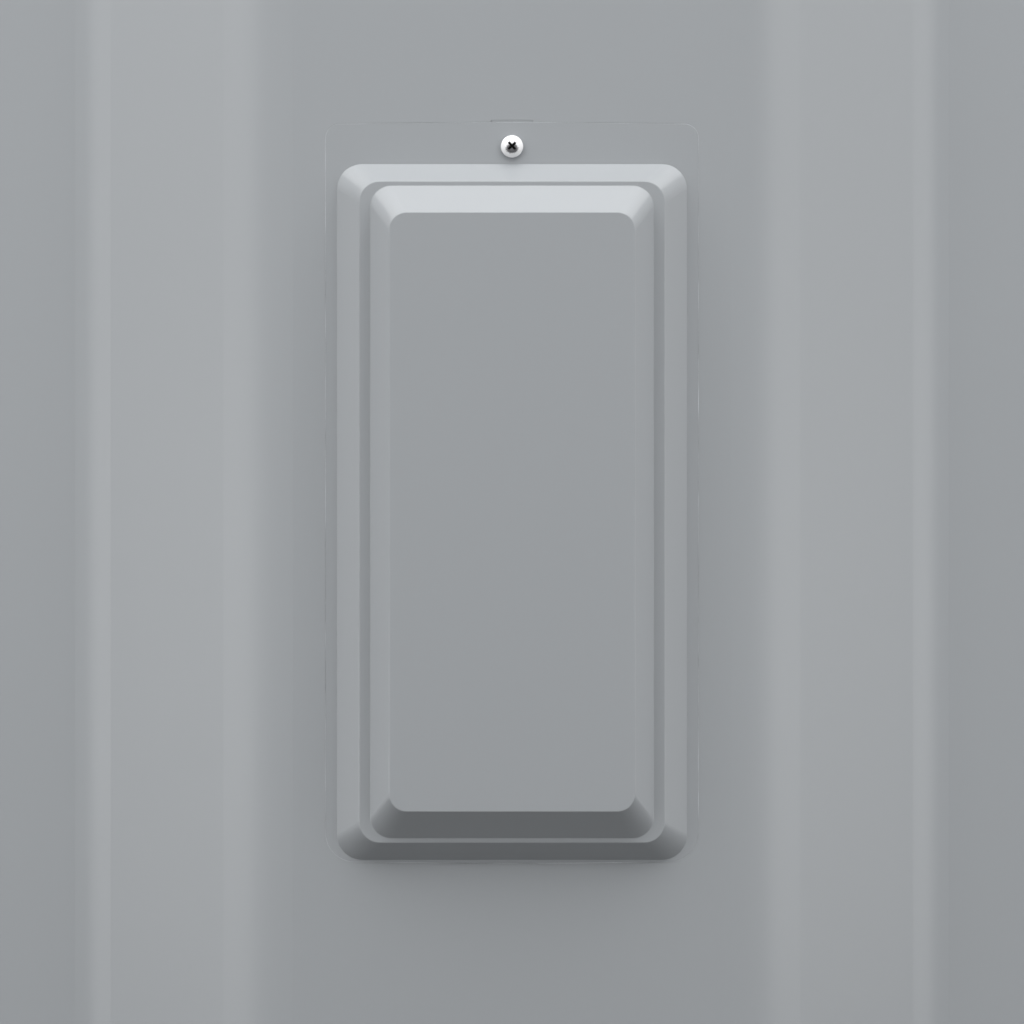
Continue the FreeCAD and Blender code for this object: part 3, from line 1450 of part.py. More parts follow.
def heat_sink():
    """Finned extrusion that stands on the board."""
    wide, high, deep, fin = D["sink_width"], D["sink_height"], D["sink_depth"], D["sink_fin"]
    base = D["sink_base"]
    parts = [box("heat_sink", (wide, base, high), on_board(D["sink_left"], D["sink_up"], base))]
    last = 6
    for index in range(last + 1):
        x = D["sink_left"] + index * (wide - fin) / last
        parts.append(box("heat_sink", (fin, deep - base + BITE, high), on_board(x, D["sink_up"], deep)))
    keep(fuse("heat_sink", *parts), "heat_sink")


def capacitors():
    """Three tall cans beside the heat sink and three small ones below it."""
    cans = []
    for step in range(3):
        tall = on_board(D["can_x"], D["can_up"] + step * D["can_pitch"])
        cans.append(rod("capacitor", D["can_outer"], D["can_rise"], tall, "-y"))
        small = on_board(D["small_can_x"] + step * D["small_can_pitch"], D["small_can_up"])
        cans.append(rod("capacitor", D["small_can_outer"], D["small_can_rise"], small, "-y"))
    keep(group("capacitors", cans), "capacitors")


def terminal_block():
    """Eight-pole screw terminal along the board's lower edge."""
    low, deep = -D["block_down"], D["block_depth"]
    size = (D["block_width"], deep, D["block_height"])
    block = box("terminal_block", size, on_board(D["block_left"], low, deep))
    openings, heads = [], []
    mouth_deep = deep - D["pole_mouth_deep"]
    well_floor = deep - D["pole_well_depth"]
    for index in range(8):
        x = D["block_left"] + D["pole_in"] + index * D["pole_pitch"]
        mouth = on_board(x - D["pole_mouth_width"] / 2, low - PAST, mouth_deep)
        size = (D["pole_mouth_width"], D["pole_mouth_deep"], D["pole_mouth_height"])
        openings.append(box("terminal_block", size, mouth))
        seat = on_board(x, low + D["pole_screw_up"], well_floor)
        openings.append(rod("terminal_block", D["pole_well"], D["pole_well_depth"] + PAST, seat, "-y"))
        heads.append(rod("terminal_screw", D["pole_screw"], D["pole_screw_rise"], seat, "-y"))
    keep(cut("terminal_block", block, *openings), "terminal_block")
    keep(group("terminal_screws", heads), "terminal_screws")


def fuse_and_lamps():
    """Glass fuse in two clips, and three status lamps."""
    start = on_board(D["fuse_x"], -D["fuse_down"], D["fuse_off"])
    keep(rod("fuse", D["fuse_outer"], D["fuse_length"], start, "x"), "fuse")
    low = -D["fuse_down"] - D["clip_height"] / 2
    bore_start = on_board(D["fuse_x"] - D["clip_out"] - PAST, -D["fuse_down"], D["fuse_off"])
    bore_length = D["fuse_length"] + 2 * D["clip_out"] + 2 * PAST
    clips = []
    for x in (D["fuse_x"] - D["clip_out"], D["fuse_x"] + D["fuse_length"] + D["clip_out"] - D["clip_width"]):
        block = box("fuse_clip", (D["clip_width"], D["clip_depth"], D["clip_height"]),
                    on_board(x, low, D["clip_depth"]))
        bore = rod("fuse_clip", D["fuse_outer"] + D["fuse_slack"], bore_length, bore_start, "x")
        clips.append(cut("fuse_clip", block, bore))
    keep(group("fuse_clips", clips), "fuse_clips")
    leds = [rod("status_led", D["status_led"], D["status_led_rise"],
                on_board(D["status_led_x"] + step * D["status_led_pitch"], -D["status_led_down"]), "-y")
            for step in range(3)]
    keep(group("status_leds", leds), "status_leds")


def rocker():
    """Power switch: a rocker cap that tilts in its housing."""
    x, up = D["rocker_x"], -D["rocker_down"]
    wide, deep, high = D["rocker_width"], D["rocker_depth"], D["rocker_height"]
    shell_part = box("rocker_housing", (wide, deep, high), on_board(x - wide / 2, up - high / 2, deep))
    well_wide, well_high = D["rocker_well_width"], D["rocker_well_height"]
    well = box("rocker_housing", (well_wide, D["rocker_well_depth"] + PAST, well_high),
               on_board(x - well_wide / 2, up - well_high / 2, deep + PAST))
    keep(cut("rocker_housing", shell_part, well), "rocker_housing")
    body = new_body("power_rocker")
    pivot_y = -board_front - D["rocker_pivot"]
    middle = board_mid + up
    half, proud, heel = D["rocker_cap_half"], D["rocker_cap_proud"], D["rocker_cap_heel"]
    root_y = pivot_y + D["rocker_cap_deep"]
    outline = [
        (root_y, middle - half + PAST), (root_y, middle + half - PAST),
        (pivot_y - proud + heel, middle + half),
        (pivot_y - proud - D["rocker_cap_toe"], middle + half),
        (pivot_y - proud, middle, D["rocker_cap_bend"]), (pivot_y - proud + BITE, middle - half),
    ]
    cap_wide = D["rocker_cap_width"]
    extrude(body, "Pad", draw(body, "YZ", x - cap_wide / 2, [outline]), cap_wide)
    keep(body, "power_rocker")


def push_button():
    """Reset button: a stepped plunger in its square housing."""
    x, up = D["button_x"], -D["control_down"]
    side, rise = D["button_side"], D["button_rise"]
    block = box("button_housing", (side, rise, side), on_board(x - side / 2, up - side / 2, rise))
    bore_floor = rise - D["button_bore_depth"]
    bore_length = D["button_bore_depth"] + PAST
    bore = rod("button_housing", D["button_stem_bore"], bore_length, on_board(x, up, bore_floor), "-y")
    keep(cut("button_housing", block, bore), "button_housing")
    stem_start = bore_floor + D["button_stem_lift"]
    stem = rod("reset_button", D["button_stem"], D["button_stem_length"], on_board(x, up, stem_start), "-y")
    cap = rod("reset_button", D["button_cap"], D["button_cap_rise"],
              on_board(x, up, stem_start + D["button_stem_length"]), "-y")
    keep(fuse("reset_button", stem, cap), "reset_button")


def knobs():
    """Two trimmer knobs with a pointer groove, each on its own housing."""
    housings = []
    up, side, rise = -D["control_down"], D["trimmer_side"], D["trimmer_rise"]
    cap_floor = rise + D["knob_stem_rise"]
    cap_face = cap_floor + D["knob_cap_rise"]
    for label, x in (("sensitivity_knob", D["sensitivity_x"]), ("volume_knob", D["volume_x"])):
        corner = on_board(x - side / 2, up - side / 2, rise)
        housings.append(box("trimmer_housing", (side, rise, side), corner))
        stem = rod(label, D["knob_stem"], D["knob_stem_rise"], on_board(x, up, rise + D["knob_lift"]), "-y")
        cap = rod(label, D["knob_cap"], D["knob_cap_rise"], on_board(x, up, cap_floor), "-y")
        groove_at = on_board(x - D["pointer_width"] / 2, up, cap_face + D["pointer_depth"])
        groove = box(label, (D["pointer_width"], 2 * D["pointer_depth"], D["pointer_length"]), groove_at)
        keep(cut(label, fuse(label, stem, cap), groove), label)
    keep(group("trimmer_housings", housings), "trimmer_housings")


# ---------------------------------------------------------------- build and write

front_shell()
rear_shell()
service_cover()
cover_gasket()
cover_screw()
screw_keeper()
screw_insert()
foot()
plinth_half("plinth_front", turned=False)
plinth_half("plinth_rear", turned=True)
plinth_fixings()
masts()
gland()
coil("lower_coil")
coil("upper_coil")
coil_pads()
bumper("bumper_left", -1)
bumper("bumper_right", 1)
alarm_lens()
lamp()
shell_screws()
sounder()
tray()
main_board()
toroid()
heat_sink()
capacitors()
terminal_block()
fuse_and_lamps()
rocker()
push_button()
knobs()

doc.recompute()
broken = [o.Name for o in doc.Objects if {"Invalid", "Error"} & set(o.State)]
empty = [n.Label for n in nodes if n.Shape.isNull() or not n.Shape.isValid() or not n.Shape.Solids]
if broken or empty:
    raise RuntimeError(f"failed objects {broken}, bad shapes {empty}")

os.makedirs("parts", exist_ok=True)
for item in nodes:
    item.Shape.exportStep(f"parts/{item.Label}.step")
print(len(nodes), "nodes written")
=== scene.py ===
import bmesh
import bpy
import math
from mathutils import Matrix, Vector


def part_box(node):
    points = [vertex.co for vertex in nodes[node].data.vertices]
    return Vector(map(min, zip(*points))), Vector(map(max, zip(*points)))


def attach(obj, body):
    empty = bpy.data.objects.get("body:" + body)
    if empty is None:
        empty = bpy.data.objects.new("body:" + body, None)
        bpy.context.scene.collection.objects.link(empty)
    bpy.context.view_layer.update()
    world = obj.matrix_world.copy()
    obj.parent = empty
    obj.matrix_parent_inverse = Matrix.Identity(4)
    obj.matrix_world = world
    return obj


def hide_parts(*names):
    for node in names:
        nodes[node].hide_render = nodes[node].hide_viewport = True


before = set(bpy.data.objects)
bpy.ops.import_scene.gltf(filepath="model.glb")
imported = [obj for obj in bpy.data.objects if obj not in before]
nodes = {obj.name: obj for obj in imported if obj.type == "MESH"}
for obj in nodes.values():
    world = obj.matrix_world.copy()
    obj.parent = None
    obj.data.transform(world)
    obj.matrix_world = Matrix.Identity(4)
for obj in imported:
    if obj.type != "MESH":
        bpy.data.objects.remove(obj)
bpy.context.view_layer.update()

# ---------------------------------------------------------------- camera
# A long lens square on to the service cover, from as far back as keeps its slopes' inner edges in view.
cover_low, cover_high = (Vector(corner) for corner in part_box("service_cover"))
face_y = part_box("front_shell")[0][1]
screw_above_centre = 0.1315
cover_centre_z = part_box("cover_screw")[0][2] / 2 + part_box("cover_screw")[1][2] / 2 - screw_above_centre

view_width, view_distance, near_clip = 0.3686, 1.045, 0.05
camera_data = bpy.data.cameras.new("camera")
camera_data.lens = camera_data.sensor_width * view_distance / view_width
camera_data.clip_start = near_clip
upright = Matrix.Rotation(math.pi / 2, 3, "X").to_quaternion()
camera = bpy.data.objects.new("camera", camera_data)
camera.matrix_world = Matrix.LocRotScale(
    Vector((0, face_y - view_distance, cover_centre_z)), upright, None)
bpy.context.scene.collection.objects.link(camera)
bpy.context.scene.camera = camera

# ---------------------------------------------------------------- floor and studio light
# A pale matt floor that throws no light back, and soft panels: a wide one overhead in front of the
# post, two on each side, low ones near the floor, and two behind the post to light its back.
bpy.context.scene.view_settings.view_transform = "Standard"
floor_mesh = bpy.data.meshes.new("floor")
floor_plan = bmesh.new()
bmesh.ops.create_grid(floor_plan, x_segments=1, y_segments=1, size=12)
floor_plan.to_mesh(floor_mesh)
floor_plan.free()
floor = bpy.data.objects.new("floor", floor_mesh)
bpy.context.scene.collection.objects.link(floor)
floor_material = bpy.data.materials.new("floor_paint")
floor_material.use_nodes = True
floor_shader = floor_material.node_tree.nodes["Principled BSDF"]
floor_shader.inputs["Base Color"].default_value = (0.72, 0.72, 0.71, 1)
floor_shader.inputs["Roughness"].default_value = 0.8
floor_mesh.materials.append(floor_material)
floor.visible_diffuse = False
floor.visible_glossy = False


def softbox(name, place, target, size, radiance):
    """A rectangular panel light of an even radiance, aimed at the target."""
    light = bpy.data.lights.new(name, "AREA")
    light.shape = "RECTANGLE"
    light.size, light.size_y = size
    light.energy = radiance * math.pi * size[0] * size[1]
    lamp = bpy.data.objects.new(name, light)
    aim = (Vector(target) - Vector(place)).to_track_quat("-Z", "Y")
    lamp.matrix_world = Matrix.LocRotScale(Vector(place), aim, None)
    bpy.context.scene.collection.objects.link(lamp)


middle = Vector((0, face_y, cover_centre_z))
softbox("overhead", (0, -1.02, 2.25), (0, -1.02, 0), (4.2, 1.9), 3.25)
softbox("wide_left", (-0.9, -2.6, 0.9), middle, (1.0, 2.4), 0.35)
softbox("low_front", (0, -2.6, 0.33), middle, (2.4, 0.6), 0.12)
softbox("back_left", (-1.8, 2.2, 1.9), (0, 0, 0.8), (1.6, 2.2), 1.8)
softbox("back_right", (2.0, 1.8, 1.2), (0, 0, 0.7), (1.2, 2.0), 1.2)
for hand, side, side_radiance, far_radiance in (("left", -1, 1.77, 0.93), ("right", 1, 1.64, 0.89)):
    softbox(f"side_{hand}", (side * 1.7, -1.35, 0.9), middle, (1.3, 2.6), side_radiance)
    softbox(f"far_{hand}", (side * 2.4, 0, 0.9), middle, (1.6, 2.4), far_radiance)
    softbox(f"low_{hand}", (side * 1.5, -1.5, 0.33), middle, (1.6, 0.6), 0.84)


def add(tree, kind, inputs=None, **settings):
    """A new node; each of its inputs named here takes a link from a socket, or else a value."""
    made = tree.nodes.new(kind)
    for name, value in settings.items():
        setattr(made, name, value)
    for label, value in (inputs or {}).items():
        if isinstance(value, bpy.types.NodeSocket):
            tree.links.new(value, made.inputs[label])
        else:
            made.inputs[label].default_value = value
    return made


world = bpy.data.worlds.new("studio")
world.use_nodes = True
sky = world.node_tree
sky_way = add(sky, "ShaderNodeTexCoord")
sky_split = add(sky, "ShaderNodeSeparateXYZ", {0: sky_way.outputs["Generated"]})
sky_range = add(sky, "ShaderNodeMapRange", {"Value": sky_split.outputs["Y"], "From Min": -1.0})
sky_tone = add(sky, "ShaderNodeValToRGB", {"Fac": sky_range.outputs["Result"]})
front_tone, back_tone = sky_tone.color_ramp.elements
front_tone.position, front_tone.color = 0.50, (0.072, 0.072, 0.072, 1)
back_tone.position, back_tone.color = 0.80, (0.30, 0.31, 0.32, 1)
sky.nodes["Background"].inputs["Strength"].default_value = 1.0
sky.links.new(sky_tone.outputs["Color"], sky.nodes["Background"].inputs["Color"])
bpy.context.scene.world = world

# ---------------------------------------------------------------- moulded half shells
# Two injection-moulded ABS halves in a light grey, with the fine satin texture of an eroded tool.
# They meet at the seam under the bumper strip and are screwed together from the rear.


def new_group(name, ins, outs):
    """A shader node group with its sockets, its input node and its output node."""
    tree = bpy.data.node_groups.new(name, "ShaderNodeTree")
    for label, kind, value in ins:
        made = tree.interface.new_socket(name=label, in_out="INPUT", socket_type=kind)
        made.default_value = value
    for label, kind in outs:
        tree.interface.new_socket(name=label, in_out="OUTPUT", socket_type=kind)
    return tree, tree.nodes.new("NodeGroupInput"), tree.nodes.new("NodeGroupOutput")


def give(tree, group_out, **results):
    """Links each result to the group's output of that name."""
    for label, source in results.items():
        tree.links.new(source, group_out.inputs[label])


moulded, moulded_in, moulded_out = new_group(
    "moulded_surface",
    [("Color", "NodeSocketColor", (0.3, 0.3, 0.3, 1)), ("Grain Size", "NodeSocketFloat", 2600.0),
     ("Tone Spread", "NodeSocketFloat", 0.05), ("Roughness", "NodeSocketFloat", 0.4),
     ("Roughness Spread", "NodeSocketFloat", 0.06)],
    [("Color", "NodeSocketColor"), ("Roughness", "NodeSocketFloat"), ("Height", "NodeSocketFloat")])
where = add(moulded, "ShaderNodeTexCoord")
clouds = add(moulded, "ShaderNodeTexNoise", {
    "Vector": where.outputs["Object"], "Scale": 7.0, "Detail": 4.0})
smears = add(moulded, "ShaderNodeTexNoise", {
    "Vector": where.outputs["Object"], "Scale": 38.0, "Detail": 5.0})
grain = add(moulded, "ShaderNodeTexNoise", {
    "Vector": where.outputs["Object"], "Detail": 3.0, "Scale": moulded_in.outputs["Grain Size"]})
cloud_centred = add(moulded, "ShaderNodeMath", {0: clouds.outputs["Fac"], 1: 0.5}, operation="SUBTRACT")
tone_mix = add(moulded, "ShaderNodeMath", {
    0: cloud_centred.outputs[0], 1: moulded_in.outputs["Tone Spread"],
    2: 1.0}, operation="MULTIPLY_ADD")
tint = add(moulded, "ShaderNodeVectorMath", {
    0: moulded_in.outputs["Color"], "Scale": tone_mix.outputs[0]}, operation="SCALE")
smear_centred = add(moulded, "ShaderNodeMath", {0: smears.outputs["Fac"], 1: 0.5}, operation="SUBTRACT")
rough_mix = add(moulded, "ShaderNodeMath", {
    0: smear_centred.outputs[0], 1: moulded_in.outputs["Roughness Spread"],
    2: moulded_in.outputs["Roughness"]}, operation="MULTIPLY_ADD")
give(moulded, moulded_out, Color=tint.outputs[0], Roughness=rough_mix.outputs[0],
     Height=grain.outputs["Fac"])


def surface(name, group, values, bump=0.0, bump_distance=0.0001, **shader_values):
    """A Principled material whose colour, roughness and bump come from one of the groups."""
    material = bpy.data.materials.new(name)
    material.use_nodes = True
    tree = material.node_tree
    shader = tree.nodes["Principled BSDF"]
    for label, value in shader_values.items():
        shader.inputs[label.replace("_", " ")].default_value = value
    effect = add(tree, "ShaderNodeGroup", node_tree=group)
    for label, value in values.items():
        effect.inputs[label].default_value = value
    tree.links.new(effect.outputs["Color"], shader.inputs["Base Color"])
    tree.links.new(effect.outputs["Roughness"], shader.inputs["Roughness"])
    if bump > 0:
        relief = add(tree, "ShaderNodeBump", {
            "Strength": bump, "Distance": bump_distance, "Height": effect.outputs["Height"]})
        tree.links.new(relief.outputs["Normal"], shader.inputs["Normal"])
    return material


def dress(material, *names):
    """Gives CAD nodes their material."""
    for name in names:
        nodes[name].data.materials.clear()
        nodes[name].data.materials.append(material)


shell_grey = (0.335, 0.352, 0.368, 1)
shell_plastic = surface("shell_plastic", moulded, {
    "Color": shell_grey, "Tone Spread": 0.03, "Roughness": 0.30, "Roughness Spread": 0.05},
    bump=0.12, bump_distance=0.00004)
dress(shell_plastic, "front_shell", "rear_shell")

# ---------------------------------------------------------------- service cover
# The same light grey ABS from a better polished tool, so its small radii catch a brighter line.
# It hooks into the seat at its foot and is held by the one screw above the raised steps.
cover_plastic = surface("cover_plastic", moulded, {
    "Color": shell_grey, "Tone Spread": 0.03, "Roughness": 0.24, "Roughness Spread": 0.05},
    bump=0.12, bump_distance=0.00004)
dress(cover_plastic, "service_cover")

# ---------------------------------------------------------------- cover screw
# A plated pan head with turning marks round its axis. Its tapered cross recess, found as everything
# below the dome inside the cross, is painted nearly black as shade and made rougher. A darker patch
# below the recess is a painted dark reflection of what lies below and in front of the screw.
screw_low, screw_high = (Vector(corner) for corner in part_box("cover_screw"))
screw_axis = ((screw_low.x + screw_high.x) / 2, 0, (screw_low.z + screw_high.z) / 2)
dome_top = screw_low.y
screw_finish, _, screw_out = new_group("plated_screw", [], [
    ("Color", "NodeSocketColor"), ("Roughness", "NodeSocketFloat"), ("Height", "NodeSocketFloat")])
screw_where = add(screw_finish, "ShaderNodeTexCoord")
from_axis = add(screw_finish, "ShaderNodeVectorMath", {
    0: screw_where.outputs["Object"], 1: screw_axis}, operation="SUBTRACT")
flat_way = add(screw_finish, "ShaderNodeVectorMath", {
    0: from_axis.outputs[0], 1: (1, 0, 1)}, operation="MULTIPLY")
radius = add(screw_finish, "ShaderNodeVectorMath", {0: flat_way.outputs[0]}, operation="LENGTH")
split = add(screw_finish, "ShaderNodeSeparateXYZ", {0: from_axis.outputs[0]})
dome_slope = add(screw_finish, "ShaderNodeMath", {
    0: radius.outputs["Value"], 1: 0.16, 2: dome_top + 0.00012}, operation="MULTIPLY_ADD")
below_dome = add(screw_finish, "ShaderNodeMath", {
    0: split.outputs["Y"], 1: dome_slope.outputs[0]}, operation="SUBTRACT")
in_recess = add(screw_finish, "ShaderNodeMapRange", {
    "Value": below_dome.outputs[0], "From Max": 0.00035})
near_axis = add(screw_finish, "ShaderNodeMapRange", {
    "Value": radius.outputs["Value"], "From Min": 0.00235, "From Max": 0.0022})
# painted shade: this marks the cross recess, which is coloured nearly black below
recess_shade_mask = add(screw_finish, "ShaderNodeMath", {
    0: in_recess.outputs["Result"], 1: near_axis.outputs["Result"]}, operation="MULTIPLY")
plating_and_recess_shade = add(screw_finish, "ShaderNodeMix", {
    0: recess_shade_mask.outputs[0], 6: (0.90, 0.90, 0.91, 1), 7: (0.030, 0.030, 0.031, 1)}, data_type="RGBA")
# painted reflection: a ragged darker patch below the recess, multiplied into the plating's colour
patch_noise = add(screw_finish, "ShaderNodeTexNoise", {
    "Vector": screw_where.outputs["Object"], "Scale": 1900.0, "Detail": 2.0})
ragged = add(screw_finish, "ShaderNodeMath", {
    0: patch_noise.outputs["Fac"], 1: 0.0009, 2: -0.00045}, operation="MULTIPLY_ADD")
from_patch = add(screw_finish, "ShaderNodeVectorMath", {
    0: from_axis.outputs[0], 1: (0, 0, -0.00095)}, operation="SUBTRACT")
patch_way = add(screw_finish, "ShaderNodeVectorMath", {
    0: from_patch.outputs[0], 1: (1, 0, 1.35)}, operation="MULTIPLY")
patch_reach = add(screw_finish, "ShaderNodeVectorMath", {0: patch_way.outputs[0]}, operation="LENGTH")
frayed = add(screw_finish, "ShaderNodeMath", {
    0: patch_reach.outputs["Value"], 1: ragged.outputs[0]}, operation="ADD")
reflection_patch_mask = add(screw_finish, "ShaderNodeMapRange", {
    "Value": frayed.outputs[0], "From Min": 0.00255, "From Max": 0.0019})
plating_with_painted_shade_and_reflection = add(screw_finish, "ShaderNodeMix", {
    0: reflection_patch_mask.outputs["Result"], 6: plating_and_recess_shade.outputs[2],
    7: (0.15, 0.15, 0.155, 1)}, data_type="RGBA", blend_type="MULTIPLY")
screw_roughness = add(screw_finish, "ShaderNodeMath", {
    0: recess_shade_mask.outputs[0], 1: 0.5, 2: 0.14}, operation="MULTIPLY_ADD")
turning = add(screw_finish, "ShaderNodeMath", {
    0: radius.outputs["Value"], 1: 42000.0}, operation="MULTIPLY")
rings = add(screw_finish, "ShaderNodeMath", {0: turning.outputs[0]}, operation="SINE")
give(screw_finish, screw_out, Color=plating_with_painted_shade_and_reflection.outputs[2], Roughness=screw_roughness.outputs[0],
     Height=rings.outputs[0])
screw_plate = surface("screw_plate", screw_finish, {}, bump=0.05, bump_distance=0.00001)
dress(screw_plate, "cover_screw")

# ---------------------------------------------------------------- cover gasket
# Closed-cell foam strips round the service opening, and a grey lip that stands up in the gap
# between the cover's flange and the shell, just short of flush, coloured far paler than the shell as
# painted light that fills the gap's shade. A plug in the shell's own plastic closes the pry notch above it.


def finish_piece(name, shape, material, body, replaced=()):
    """Turns a bmesh into an object that rides on a CAD body."""
    mesh = bpy.data.meshes.new(name)
    bmesh.ops.recalc_face_normals(shape, faces=shape.faces)
    shape.to_mesh(mesh)
    shape.free()
    mesh.materials.append(material)
    piece = bpy.data.objects.new(name, mesh)
    bpy.context.scene.collection.objects.link(piece)
    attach(piece, body)
    if replaced:
        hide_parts(*replaced)
    return piece


def padded_block(shape, low, high, radius, segments=3):
    """Adds a block with softly rounded edges to a bmesh."""
    made = bmesh.ops.create_cube(shape, size=1)["verts"]
    size = [b - a for a, b in zip(low, high)]
    bmesh.ops.scale(shape, vec=size, verts=made)
    bmesh.ops.translate(shape, vec=[(a + b) / 2 for a, b in zip(low, high)], verts=made)
    edges = {edge for vert in made for edge in vert.link_edges}
    bmesh.ops.bevel(shape, geom=list(edges), offset=radius, offset_type="OFFSET", segments=segments,
                    profile=0.5, affect="EDGES", material=-1)


soft, soft_in, soft_out = new_group(
    "soft_cells",
    [("Color", "NodeSocketColor", (0.04, 0.04, 0.045, 1)), ("Cell Scale", "NodeSocketFloat", 900.0),
     ("Roughness", "NodeSocketFloat", 0.85), ("Pore Depth", "NodeSocketFloat", 0.5)],
    [("Color", "NodeSocketColor"), ("Roughness", "NodeSocketFloat"), ("Height", "NodeSocketFloat")])
soft_where = add(soft, "ShaderNodeTexCoord")
mottle = add(soft, "ShaderNodeTexNoise", {
    "Vector": soft_where.outputs["Object"], "Scale": 60.0, "Detail": 5.0})
cells = add(soft, "ShaderNodeTexVoronoi", {
    "Vector": soft_where.outputs["Object"], "Scale": soft_in.outputs["Cell Scale"]})
pores = add(soft, "ShaderNodeMath", {
    0: cells.outputs["Distance"], 1: soft_in.outputs["Pore Depth"]}, operation="MULTIPLY")
soft_tone = add(soft, "ShaderNodeMath", {
    0: mottle.outputs["Fac"], 1: pores.outputs[0]}, operation="ADD")
soft_tint = add(soft, "ShaderNodeVectorMath", {
    0: soft_in.outputs["Color"], "Scale": soft_tone.outputs[0]}, operation="SCALE")
give(soft, soft_out, Color=soft_tint.outputs[0], Roughness=soft_in.outputs["Roughness"],
     Height=cells.outputs["Distance"])
foam = surface("foam", soft, {"Color": (0.055, 0.055, 0.06, 1), "Cell Scale": 1100.0}, bump=0.5,
               bump_distance=0.0003)
# painted light: the lip is about twice as pale as the shell, so the shaded gap reads as lit
lip_painted_light = surface("gasket_lip", soft, {
    "Color": (0.71, 0.745, 0.78, 1), "Cell Scale": 1500.0, "Roughness": 0.5, "Pore Depth": 0.1}, bump=0.1,
    bump_distance=0.00005)

flange_low_z, flange_high_z = cover_low.z, cover_high.z
flange_half, top_corner, low_corner = cover_high.x, 0.005, 0.0105
crown_peak, crown_radius, crown_rise = 0.0009, 2.6, 0.000665
corner_steps, run_steps = 24, 24
crown_slope = crown_peak / flange_half


def flange_loop(shape, grow, y):
    """A ring of vertices round the flange's crowned outline, moved outward by grow."""
    half, top, low = flange_half + grow, flange_high_z - crown_rise + grow, flange_low_z + crown_rise - grow
    loop = []
    for x_side, z_edge, z_in, radius, start in (
            (1, low, 1, low_corner, -90), (1, top, -1, top_corner, 0),
            (-1, top, -1, top_corner, 90), (-1, low, 1, low_corner, 180)):
        radius += grow
        for step in range(corner_steps + 1):
            turn = math.radians(start + 90 * step / corner_steps)
            loop.append((x_side * (half - radius) + radius * math.cos(turn),
                         z_edge + z_in * radius * (1 - crown_slope) + radius * math.sin(turn)))
        if start in (0, 180):
            for step in range(1, run_steps):
                x = (1 - 2 * step / run_steps) * x_side * (half - radius)
                on_arc = abs(x) < crown_radius * crown_slope
                rise = crown_rise - x * x / (2 * crown_radius) if on_arc else crown_slope * (half - abs(x))
                loop.append((x, z_edge - z_in * rise))
    return [shape.verts.new((x, y, z)) for x, z in loop]


lip = bmesh.new()
seat = face_y + 0.003
flange_back = face_y + 0.002
tucked, lip_in, lip_out, lip_top, off_seat = -0.0022, 0.00002, 0.000235, face_y + 0.00003, 0.00002
section = [(tucked, seat - off_seat), (tucked, flange_back + off_seat), (lip_in, flange_back + off_seat),
           (lip_in, lip_top), (lip_out, lip_top), (lip_out, seat - off_seat)]
loops = [flange_loop(lip, grow, y) for grow, y in section]
for index, loop in enumerate(loops):
    other = loops[(index + 1) % len(loops)]
    for here in range(len(loop)):
        there = (here + 1) % len(loop)
        lip.faces.new((loop[here], loop[there], other[there], other[here]))
finish_piece("gasket_lip", lip, lip_painted_light, "post", ("cover_gasket",))

plug = bmesh.new()
plug_half, plug_edge = 0.0073, 0.00006
padded_block(plug, (-plug_half, face_y + 0.00005, flange_high_z + 0.00026),
             (plug_half, face_y + 0.00118, flange_high_z + 0.00092), plug_edge, 2)
finish_piece("notch_plug", plug, shell_plastic, "post")

strips = bmesh.new()
strip_in, strip_out = flange_half - 0.0094, flange_half - 0.0028
strip_wide, strip_short, strip_edge = 0.007, 0.016, 0.0004
screw_z = screw_axis[2]
for side in (-1, 1):
    x_low, x_high = sorted((side * strip_in, side * strip_out))
    padded_block(strips, (x_low, flange_back, flange_low_z + strip_short),
                 (x_high, seat, flange_high_z - strip_short), strip_edge)
    x_low, x_high = sorted((side * 0.009, side * strip_in))
    padded_block(strips, (x_low, flange_back, screw_z - strip_wide / 2),
                 (x_high, seat, screw_z + strip_wide / 2), strip_edge)
finish_piece("gasket_foam", strips, foam, "post")

# ---------------------------------------------------------------- bumper strips
# Black thermoplastic rubber extrusions with two grooves along their face, pressed into the seam's
# groove from the plinth up and round each top corner to the lens.
rubber = surface("rubber", soft, {
    "Color": (0.050, 0.050, 0.054, 1), "Cell Scale": 2600.0, "Roughness": 0.62, "Pore Depth": 0.25},
    bump=0.15, bump_distance=0.00008)
bumper_radius, straight_steps, bend_steps = 0.0745, 12, 20
profile = [(0.0052, -1.0), (0.0021, -1.0), (0.0006, -0.88), (0.0, -0.68), (0.0, -0.42), (0.0007, -0.34),
           (0.0007, -0.26), (0.0, -0.18), (0.0, 0.18), (0.0007, 0.26), (0.0007, 0.34), (0.0, 0.42),
           (0.0, 0.68), (0.0006, 0.88), (0.0021, 1.0), (0.0052, 1.0)]


def faces_of(made):
    """The faces among what a bmesh operator made."""
    return [item for item in made if isinstance(item, bmesh.types.BMFace)]


def push(shape, faces, amount, keep_start=False):
    """Extrudes the faces, moves the new ones and returns them; the old ones go unless kept."""
    made = bmesh.ops.extrude_face_region(shape, geom=faces)["geom"]
    moved = [item for item in made if isinstance(item, bmesh.types.BMVert)]
    bmesh.ops.translate(shape, vec=amount, verts=moved)
    if not keep_start:
        bmesh.ops.delete(shape, geom=faces, context="FACES_ONLY")
    return faces_of(made)


